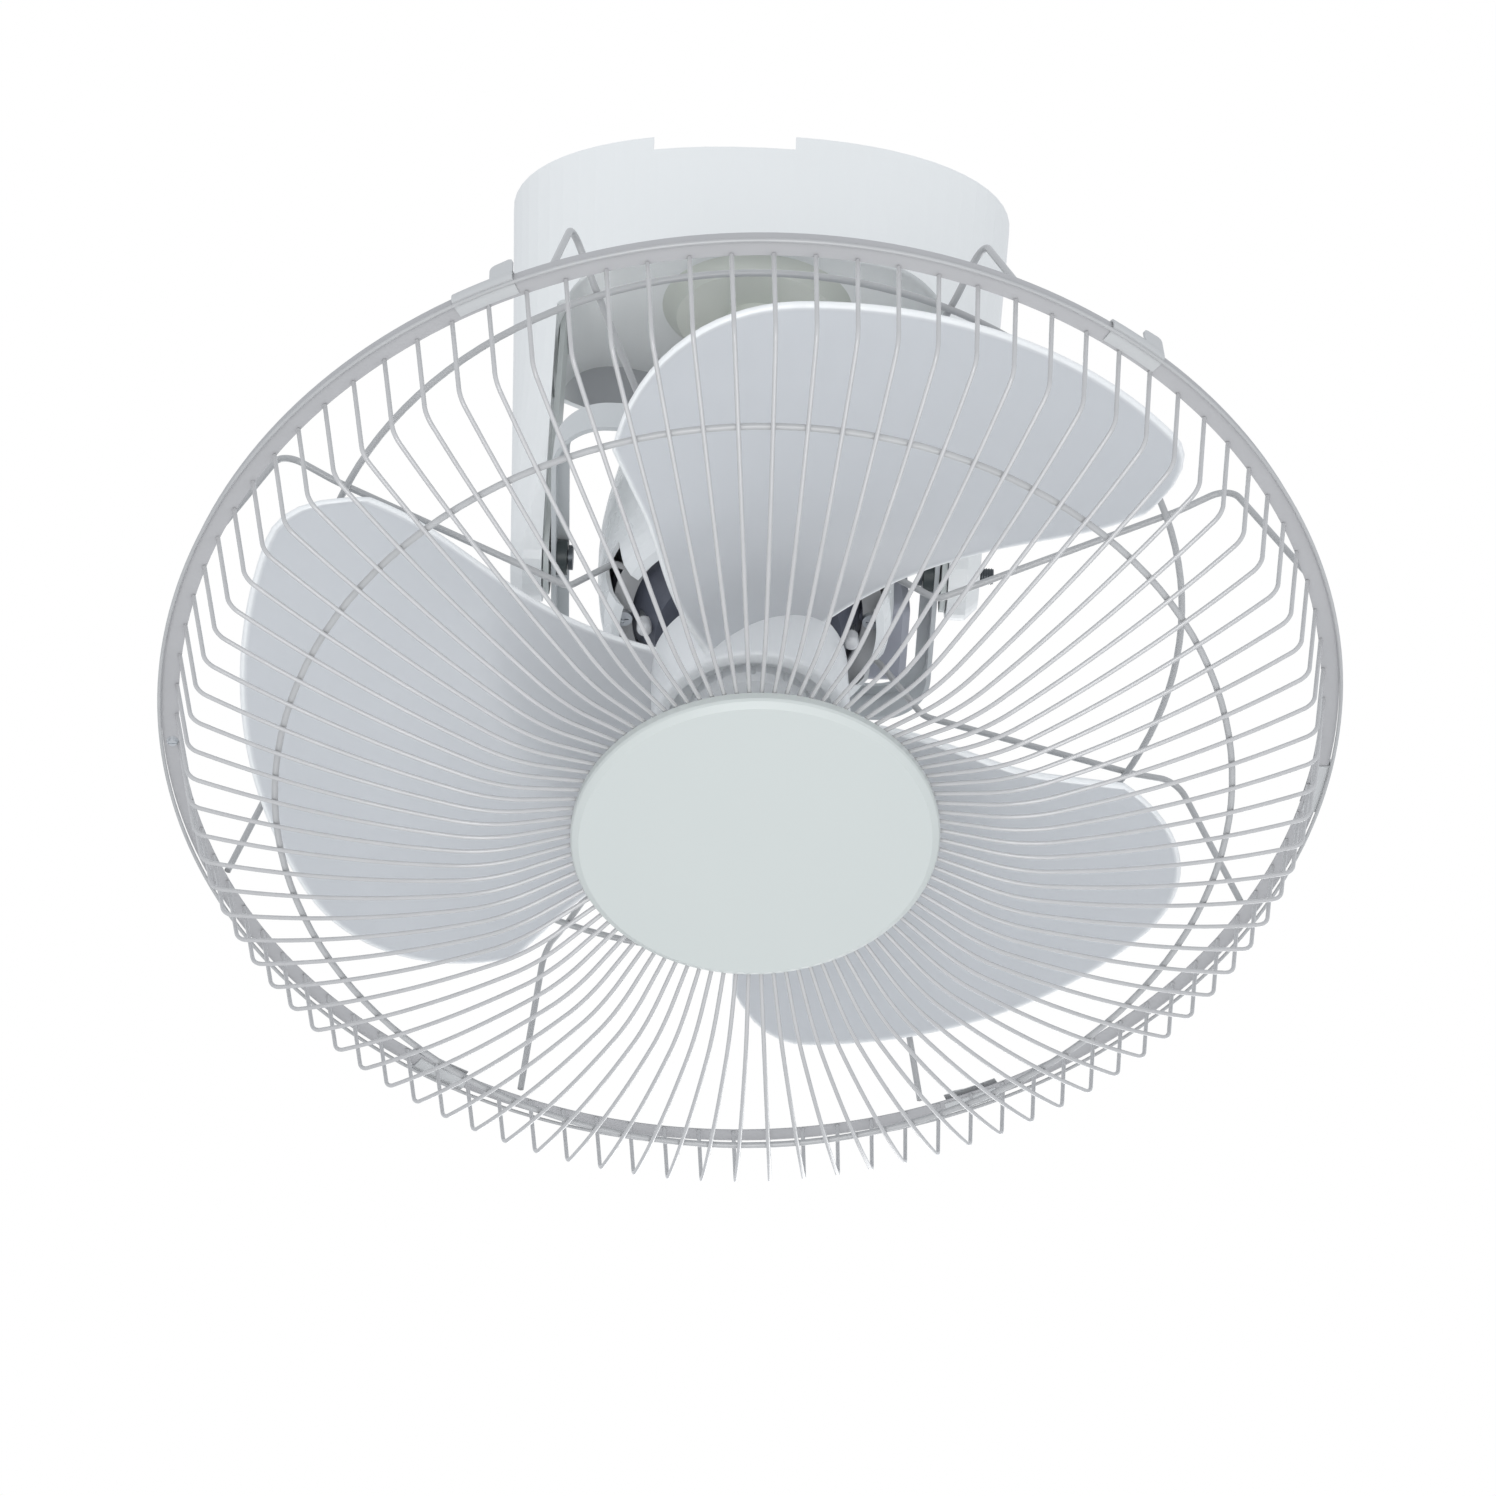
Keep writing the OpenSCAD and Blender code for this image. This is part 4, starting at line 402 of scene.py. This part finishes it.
def blade_web(mesh, edge_layer, painted_shade_layer, turn):
    root = HUB_R - 1.2
    rows = ([(i / WEB_ROWS, None) for i in range(WEB_ROWS + 1)]
            + [(1.0, step) for step in reversed(EDGE_STEPS[:-1])])
    columns = ([(0, step) for step in EDGE_STEPS[:-1]]
               + [(j / WEB_COLUMNS, None) for j in range(WEB_COLUMNS + 1)]
               + [(1, step) for step in reversed(EDGE_STEPS[:-1])])
    faces_up, faces_down = [], []
    for share, tip_step in rows:
        reach = root + (BLADE_TIP - TIP_MARGIN - root) * share
        chord = math.radians(BLADE_SPAN) * reach
        line_up, line_down = [], []
        for base, side_step in columns:
            if side_step is None:
                inset = EDGE_STEPS[-1] / chord
                v = inset + (1 - 2 * inset) * base
            else:
                v = side_step / chord if base == 0 else 1 - side_step / chord
            tip = blade_tip(v)
            r = root + (tip - EDGE_STEPS[-1] - root) * share if tip_step is None else tip - tip_step
            here = blade_place(r, v)
            across = (blade_place(r, v + 0.002) - blade_place(r, v - 0.002)).normalized()
            along = (blade_place(r + 0.2, v) - blade_place(r - 0.2, v)).normalized()
            normal = across.cross(along).normalized()
            near = min(tip - r, min(v, 1 - v) * chord)
            half = BLADE_T / 2 * math.sqrt(max(0.0, 1 - (1 - min(1.0, near / EDGE_ROUND)) ** 2)) + LEAST_HALF
            half += BEAD_H * math.exp(-((near - BEAD_IN) / BEAD_W) ** 2) * min(1.0, near / 0.6)
            # Painted highlight: edge_glow whitens the plastic within about 2.6 mm of each edge, partly for
            # its thickness.
            edge = 1 - eased((near - 1.0) / 1.6)
            # Painted shade: darker near the hub, most on the leading part of each paddle.
            shade = (1 - eased((r - HUB_R) / PAINTED_SHADE_REACH)) * (1 - 0.75 * eased(v / 0.8))
            for line, sign in ((line_up, 1), (line_down, -1)):
                vert = mesh.verts.new(turn @ (here + sign * half * normal))
                vert[edge_layer] = edge
                vert[painted_shade_layer] = shade
                line.append(vert)
        faces_up.append(line_up)
        faces_down.append(line_down)
    count = len(columns)
    for i in range(len(rows) - 1):
        for j in range(count - 1):
            above, below = faces_up[i:i + 2], faces_down[i:i + 2]
            mesh.faces.new((above[0][j], above[0][j + 1], above[1][j + 1], above[1][j]))
            mesh.faces.new((below[0][j], below[1][j], below[1][j + 1], below[0][j + 1]))
        for j, flip in ((0, False), (count - 1, True)):
            quad = [faces_up[i][j], faces_up[i + 1][j], faces_down[i + 1][j], faces_down[i][j]]
            mesh.faces.new(reversed(quad) if flip else quad)
    for i, flip in ((0, True), (len(rows) - 1, False)):
        for j in range(count - 1):
            quad = [faces_up[i][j], faces_up[i][j + 1], faces_down[i][j + 1], faces_down[i][j]]
            mesh.faces.new(reversed(quad) if flip else quad)


def lathe(mesh, profile, steps=144):
    rings = []
    for k in range(steps):
        a = 2 * math.pi * k / steps
        rings.append([mesh.verts.new((r * math.cos(a), r * math.sin(a), z)) for r, z in profile])
    for k in range(steps):
        ring, following = rings[k], rings[(k + 1) % steps]
        for j in range(len(profile)):
            i = (j + 1) % len(profile)
            mesh.faces.new((ring[j], ring[i], following[i], following[j]))


def piece_from(mesh, name, body, material, sharp=35):
    bmesh.ops.transform(mesh, matrix=GUARD @ Matrix.Scale(MM, 4), verts=mesh.verts)
    bmesh.ops.recalc_face_normals(mesh, faces=mesh.faces)
    data = bpy.data.meshes.new(name)
    mesh.to_mesh(data)
    mesh.free()
    data.materials.append(material)
    data.shade_smooth()
    data.set_sharp_from_angle(angle=math.radians(sharp))
    piece = bpy.data.objects.new(name, data)
    scene.collection.objects.link(piece)
    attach(piece, body)
    return piece


def blade_finish():
    material = finish("blade_white", (0.575, 0.595, 0.62), (0.555, 0.575, 0.60), rough=0.32, flow=5,
                      coat=0.15)
    n, l = material.node_tree.nodes, material.node_tree.links
    skin = next(node for node in n if node.type == "GROUP")
    colour = skin.outputs["Colour"]
    # The root tint is painted shade near the hub; the edge tint is a painted highlight.
    for layer, tint, amount in (("painted_root_shade", (0.42, 0.41, 0.415, 1), 0.3),
                                ("edge_glow", (0.93, 0.945, 0.95, 1), 0.9)):
        attribute = n.new("ShaderNodeAttribute")
        attribute.attribute_name = layer
        scale = n.new("ShaderNodeMath")
        scale.operation = "MULTIPLY"
        scale.inputs[1].default_value = amount
        l.new(attribute.outputs["Fac"], scale.inputs[0])
        mix = n.new("ShaderNodeMix")
        mix.data_type = "RGBA"
        mix.inputs["B"].default_value = tint
        l.new(scale.outputs[0], mix.inputs["Factor"])
        l.new(colour, mix.inputs["A"])
        colour = mix.outputs["Result"]
    l.new(colour, n["Principled BSDF"].inputs["Base Color"])
    return material


hub_mesh = bmesh.new()
edge_glow = hub_mesh.verts.layers.float.new("edge_glow")
painted_root_shade = hub_mesh.verts.layers.float.new("painted_root_shade")
for k in range(3):
    blade_web(hub_mesh, edge_glow, painted_root_shade, Matrix.Rotation(math.radians(-120 * k), 4, "Z"))
WEB, HUB_GLOW = HUB_FRONT + RECESS_L, 0.7
web_count = len(hub_mesh.verts)
lathe(hub_mesh, [(SHAFT_R + 0.05, WEB - 3), (SPINNER_R - 4, WEB - 3), (SPINNER_R - 4, WEB),
                 (RECESS_R - 0.8, WEB),
                 (RECESS_R, WEB - 0.8), (RECESS_R, HUB_FRONT + 0.9), (RECESS_R + 0.3, HUB_FRONT + 0.3),
                 (RECESS_R + 1, HUB_FRONT), (HUB_R - HUB_WALL, HUB_FRONT), (HUB_R - 1.1, HUB_FRONT + 0.3),
                 (HUB_R - 0.4, HUB_FRONT + 0.9), (HUB_R, HUB_FRONT + 2), (HUB_R, HUB_FRONT + HUB_L - 0.6),
                 (HUB_R - 0.6, HUB_FRONT + HUB_L), (HUB_R - HUB_WALL, HUB_FRONT + HUB_L),
                 (HUB_R - HUB_WALL, WEB + 2), (BOSS_R, WEB + 2), (BOSS_R, WEB + BOSS_L),
                 (SHAFT_R + 0.05, WEB + BOSS_L)])
# Painted highlight: the hub's plastic is brightened by a fixed share of edge_glow.
for vert in list(hub_mesh.verts)[web_count:]:
    vert[edge_glow] = HUB_GLOW
blade_white = blade_finish()
fan_moulding = piece_from(hub_mesh, "fan_moulding", "rotor", blade_white)
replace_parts(fan_moulding, "fan_blades")
spinner_white = finish("spinner_white", (0.74, 0.755, 0.77), (0.70, 0.715, 0.73), rough=0.35)
dress("spinner_nut", spinner_white)

# ---------------------------------------------------------------- wire guard
# Ninety-four grey coated front ribs and eight rear spokes, each one bent wire, welded to wire rings
# and held in a rolled grey channel hoop with plastic snap clips.
HOOP_R, HOOP_T, HOOP_W = 220.0, 6.8, 4.4
RIB_COUNT, RIB_R, RIB_SIDES, RIB_IN = 94, 0.82, 12, 56.0
SHOULDER, SHOULDER_BEND, WIRE_BEND = Vector((202.8, 34.4)), 4.5, 8.0
DOME_SLOPE, DOME_R, CROWN_START, CROWN_BEND, DISH_SLOPE = 22.5, 390.0, 110.0, 58.0, 17.0


def along(degrees):
    return Vector((math.sin(math.radians(degrees)), math.cos(math.radians(degrees))))


def arc(centre, radius, start, end, count):
    return [centre + radius * along(start + (end - start) * k / count) for k in range(count + 1)]


def rib_line():
    foot = Vector((HOOP_R - HOOP_T + 0.7, HOOP_W / 2 + 0.5))
    v = foot - SHOULDER
    wall = math.degrees(math.atan2(-v.y, v.x) + math.asin(SHOULDER_BEND / v.length))
    dome = SHOULDER + (SHOULDER_BEND - DOME_R) * along(DOME_SLOPE)
    outward = along(wall)
    wall_way = Vector((-outward.y, outward.x))
    start = SHOULDER + (SHOULDER_BEND - WIRE_BEND) * outward - dome
    inside = start.dot(wall_way)
    slide = math.sqrt(inside ** 2 - start.length_squared + (DOME_R - WIRE_BEND) ** 2) - inside
    bend = dome + start + slide * wall_way
    leave = math.degrees(math.atan2(bend.x - dome.x, bend.y - dome.y))
    crown_slope = math.degrees(math.asin((CROWN_START - dome.x) / DOME_R))
    crown = dome + (DOME_R - CROWN_BEND) * along(crown_slope)
    end = crown + CROWN_BEND * along(-DISH_SLOPE)
    inner = Vector((RIB_IN, end.y - (end.x - RIB_IN) * math.tan(math.radians(DISH_SLOPE))))
    return ([foot] + arc(bend, WIRE_BEND, wall, leave, 12) + arc(dome, DOME_R, leave, crown_slope, 14)[1:]
            + arc(crown, CROWN_BEND, crown_slope, -DISH_SLOPE, 12)[1:] + [inner])


def bent_line(corners, bends, count=10):
    line = [corners[0]]
    for before, corner, after, bend in zip(corners, corners[1:], corners[2:], bends):
        a, b = (before - corner).normalized(), (after - corner).normalized()
        half = a.angle(b) / 2
        centre = corner + (a + b).normalized() * bend / math.sin(half)
        start = corner + a * bend / math.tan(half) - centre
        swing = (corner + b * bend / math.tan(half) - centre).angle_signed(start)
        for k in range(count + 1):
            turn = Matrix.Rotation(swing * k / count, 2)
            line.append(centre + turn @ start)
    return line + [corners[-1]]


def wire_set_group():
    group = bpy.data.node_groups.new("wire_set", "GeometryNodeTree")
    group.interface.new_socket(name="Geometry", in_out="INPUT", socket_type="NodeSocketGeometry")
    group.interface.new_socket(name="Count", in_out="INPUT", socket_type="NodeSocketInt")
    group.interface.new_socket(name="First Angle", in_out="INPUT", socket_type="NodeSocketFloat")
    group.interface.new_socket(name="Wire Radius", in_out="INPUT", socket_type="NodeSocketFloat")
    group.interface.new_socket(name="Sides", in_out="INPUT", socket_type="NodeSocketInt")
    group.interface.new_socket(name="Material", in_out="INPUT", socket_type="NodeSocketMaterial")
    group.interface.new_socket(name="Geometry", in_out="OUTPUT", socket_type="NodeSocketGeometry")
    n, l = group.nodes, group.links
    given = n.new("NodeGroupInput")
    path = n.new("GeometryNodeMeshToCurve")
    section = n.new("GeometryNodeCurvePrimitiveCircle")
    wire = n.new("GeometryNodeCurveToMesh")
    wire.inputs["Fill Caps"].default_value = True
    points = n.new("GeometryNodeMeshLine")
    points.inputs["Offset"].default_value = (0, 0, 0)
    index = n.new("GeometryNodeInputIndex")
    step = n.new("ShaderNodeMath")
    step.operation = "DIVIDE"
    step.inputs[0].default_value = 2 * math.pi
    angle = n.new("ShaderNodeMath")
    angle.operation = "MULTIPLY_ADD"
    euler = n.new("ShaderNodeCombineXYZ")
    copies = n.new("GeometryNodeInstanceOnPoints")
    real = n.new("GeometryNodeRealizeInstances")
    smooth = n.new("GeometryNodeSetShadeSmooth")
    coat = n.new("GeometryNodeSetMaterial")
    result = n.new("NodeGroupOutput")
    l.new(given.outputs["Geometry"], path.inputs["Mesh"])
    l.new(given.outputs["Wire Radius"], section.inputs["Radius"])
    l.new(given.outputs["Sides"], section.inputs["Resolution"])
    l.new(path.outputs["Curve"], wire.inputs["Curve"])
    l.new(section.outputs["Curve"], wire.inputs["Profile Curve"])
    l.new(given.outputs["Count"], points.inputs["Count"])
    l.new(given.outputs["Count"], step.inputs[1])
    l.new(index.outputs["Index"], angle.inputs[0])
    l.new(step.outputs[0], angle.inputs[1])
    l.new(given.outputs["First Angle"], angle.inputs[2])
    l.new(angle.outputs[0], euler.inputs["Z"])
    l.new(points.outputs["Mesh"], copies.inputs["Points"])
    l.new(wire.outputs["Mesh"], copies.inputs["Instance"])
    l.new(euler.outputs[0], copies.inputs["Rotation"])
    l.new(copies.outputs["Instances"], real.inputs["Geometry"])
    l.new(real.outputs["Geometry"], smooth.inputs["Geometry"])
    l.new(smooth.outputs["Geometry"], coat.inputs["Geometry"])
    l.new(given.outputs["Material"], coat.inputs["Material"])
    l.new(coat.outputs["Geometry"], result.inputs["Geometry"])
    return group


wire_set = wire_set_group()


def wire_piece(name, line, count, first_angle, radius, sides, material, body, replaced, front=-1):
    data = bpy.data.meshes.new(name)
    data.from_pydata([(p.x * MM, 0, front * p.y * MM) for p in line],
                     [(k, k + 1) for k in range(len(line) - 1)], [])
    piece = bpy.data.objects.new(name, data)
    scene.collection.objects.link(piece)
    modifier = piece.modifiers.new("wires", "NODES")
    modifier.node_group = wire_set
    values = {"Count": count, "First Angle": first_angle, "Wire Radius": radius * MM, "Sides": sides,
              "Material": material}
    for item in wire_set.interface.items_tree:
        if item.in_out == "INPUT" and item.name in values:
            modifier[item.identifier] = values[item.name]
    bpy.context.view_layer.update()
    baked = bpy.data.meshes.new_from_object(piece.evaluated_get(bpy.context.evaluated_depsgraph_get()))
    piece.modifiers.remove(modifier)
    piece.data = baked
    baked.transform(GUARD)
    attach(piece, body)
    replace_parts(piece, replaced)
    return piece


wire_grey = finish("wire_grey", (0.45, 0.455, 0.46), (0.39, 0.395, 0.40), rough=0.3, flow=40, amount=0.5,
                   coat=0.3)
rib_white = finish("rib_white", (0.50, 0.50, 0.505), (0.44, 0.44, 0.445), rough=0.2, flow=60, amount=0.4,
                   coat=0.9)
hoop_grey = finish("hoop_grey", (0.45, 0.45, 0.46), (0.41, 0.41, 0.42), rough=0.4, flow=20, amount=0.5)
clip_grey = finish("clip_grey", (0.55, 0.56, 0.565), (0.50, 0.51, 0.515), rough=0.4)
wire_piece("rib_wires", rib_line(), RIB_COUNT, math.pi / RIB_COUNT, RIB_R, RIB_SIDES, rib_white, "head",
           "front_ribs")
SPOKE_COUNT, SPOKE_R, SPOKE_SIDES, SPOKE_TURN = 8, 1.3, 20, math.radians(1.6)
GUARD_DEPTH, MOUNT_DEPTH, SEAT_GAP = 101.5, 31, 0.03
SPOKE_SEAT = GUARD_DEPTH - MOUNT_DEPTH + SPOKE_R + SEAT_GAP
SPOKE_BENDS = (6, 6, 40, 9)
spoke_corners = [Vector(corner) for corner in (
    (47.5, SPOKE_SEAT), (57, SPOKE_SEAT), (76, 47), (172, 59.3), (193, 65),
    (HOOP_R - HOOP_T + 1, HOOP_W / 2 + 1))]
wire_piece("spoke_wires", bent_line(spoke_corners, SPOKE_BENDS), SPOKE_COUNT,
           math.pi / SPOKE_COUNT + SPOKE_TURN, SPOKE_R, SPOKE_SIDES, wire_grey, "head",
           "rear_spokes", front=1)
for node in ("guard_mount", "rear_ring", "rear_rim", "front_ring"):
    dress(node, wire_grey)
dress("badge_back_plate", rib_white)

# ---------------------------------------------------------------- hoop, rim wire and clips
# The hoop is rolled from steel sheet with rounded outer edges, a wide front flange, a short rear one.
# The front guard's rim wire lies along its outer edge. Five snap clips wrap it, each with a lever.
CLIP_TURNS, CLIP_L = (-116.6, -54.6, 6.1, 63.4, 123.4), 23.0
LEVER_L, LEVER_R, LEVER_SHEET, LEVER_LIFT = 8.5, 221.3, 1.0, 2.2
RIM_R, RIM_DEPTH, RIM_WIRE_R, RIM_SIDES, HOOP_STEPS = 220.3, -3.9, 0.7, 12, 240


def swept(mesh, profile, start, end, steps):
    rings = []
    for k in range(steps + 1):
        a = math.radians(start + (end - start) * k / steps)
        rings.append([mesh.verts.new((r * math.cos(a), r * math.sin(a), z)) for r, z in profile])
    for ring, following in zip(rings, rings[1:]):
        for j in range(len(profile)):
            i = (j + 1) % len(profile)
            mesh.faces.new((ring[j], ring[i], following[i], following[j]))
    for ring in (rings[0], rings[-1]):
        for j in range(len(profile) // 2 - 1):
            i = len(profile) - 1 - j
            mesh.faces.new((ring[j], ring[j + 1], ring[i - 1], ring[i]))


hoop_mesh = bmesh.new()
lathe(hoop_mesh, [(HOOP_R - HOOP_T, -2.2), (218.7, -2.2), (219.45, -2.05), (219.9, -1.6), (220, -1), (220, 1),
                  (219.9, 1.6), (219.45, 2.05), (218.7, 2.2), (217.4, 2.2), (217.4, 1.7), (218.6, 1.7),
                  (219.2, 1.55), (219.5, 1), (219.5, -1), (219.2, -1.55), (218.6, -1.7),
                  (HOOP_R - HOOP_T, -1.7)], HOOP_STEPS)
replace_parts(piece_from(hoop_mesh, "hoop_band", "head", hoop_grey), "guard_hoop")

rim_mesh = bmesh.new()
rim_angles = [2 * math.pi * k / RIM_SIDES for k in range(RIM_SIDES)]
rim_section = [(RIM_R + RIM_WIRE_R * math.cos(a), RIM_DEPTH + RIM_WIRE_R * math.sin(a)) for a in rim_angles]
lathe(rim_mesh, rim_section, HOOP_STEPS)
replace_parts(piece_from(rim_mesh, "rim_wire", "head", wire_grey, 60), "front_rim")

clip_outer = [(214.4, -2.3), (214.6, -2.85), (215.4, -3.0), (218.6, -3.1), (219.9, -2.9), (220.9, -2.2),
              (221.3, -1.0), (221.3, 1.2), (220.9, 2.4), (219.9, 3.0), (218.6, 3.1), (215.4, 2.95),
              (214.6, 2.8), (214.4, 2.3)]
clip_inner = [(215.2, 2.3), (215.6, 2.35), (218.5, 2.4), (219.5, 2.3), (220.3, 1.9), (220.6, 1.1),
              (220.6, -0.9), (220.3, -1.8), (219.5, -2.25), (218.5, -2.35), (215.6, -2.3), (215.2, -2.25)]
lever_outline = [(0, -1), (LEVER_L, -1), (LEVER_L, 5.6), (8.1, 6.7), (7.0, 7.2), (1.8, 6.6), (0.6, 5.9),
                 (0, 4.6)]
clip_mesh = bmesh.new()
for turn in CLIP_TURNS:
    half = math.degrees(CLIP_L / HOOP_R) / 2
    swept(clip_mesh, clip_outer + clip_inner, turn - half, turn + half, 12)
    first = math.radians(turn + half) - LEVER_L / HOOP_R
    faces = []
    for r in (LEVER_R - LEVER_SHEET, LEVER_R):
        places = [(first + s / HOOP_R, z + LEVER_LIFT) for s, z in lever_outline]
        faces.append([clip_mesh.verts.new((r * math.cos(a), r * math.sin(a), z)) for a, z in places])
    clip_mesh.faces.new(faces[0])
    clip_mesh.faces.new(reversed(faces[1]))
    for j in range(len(lever_outline)):
        i = (j + 1) % len(lever_outline)
        clip_mesh.faces.new((faces[0][j], faces[1][j], faces[1][i], faces[0][i]))
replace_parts(piece_from(clip_mesh, "snap_clips", "head", clip_grey), "guard_clips")

# ---------------------------------------------------------------- badge
# The round centre badge is a bare satin moulding with a bevelled rim.
badge_satin = finish("badge_satin", (0.57, 0.605, 0.59), (0.55, 0.585, 0.575), rough=0.38)
dress("badge", badge_satin)
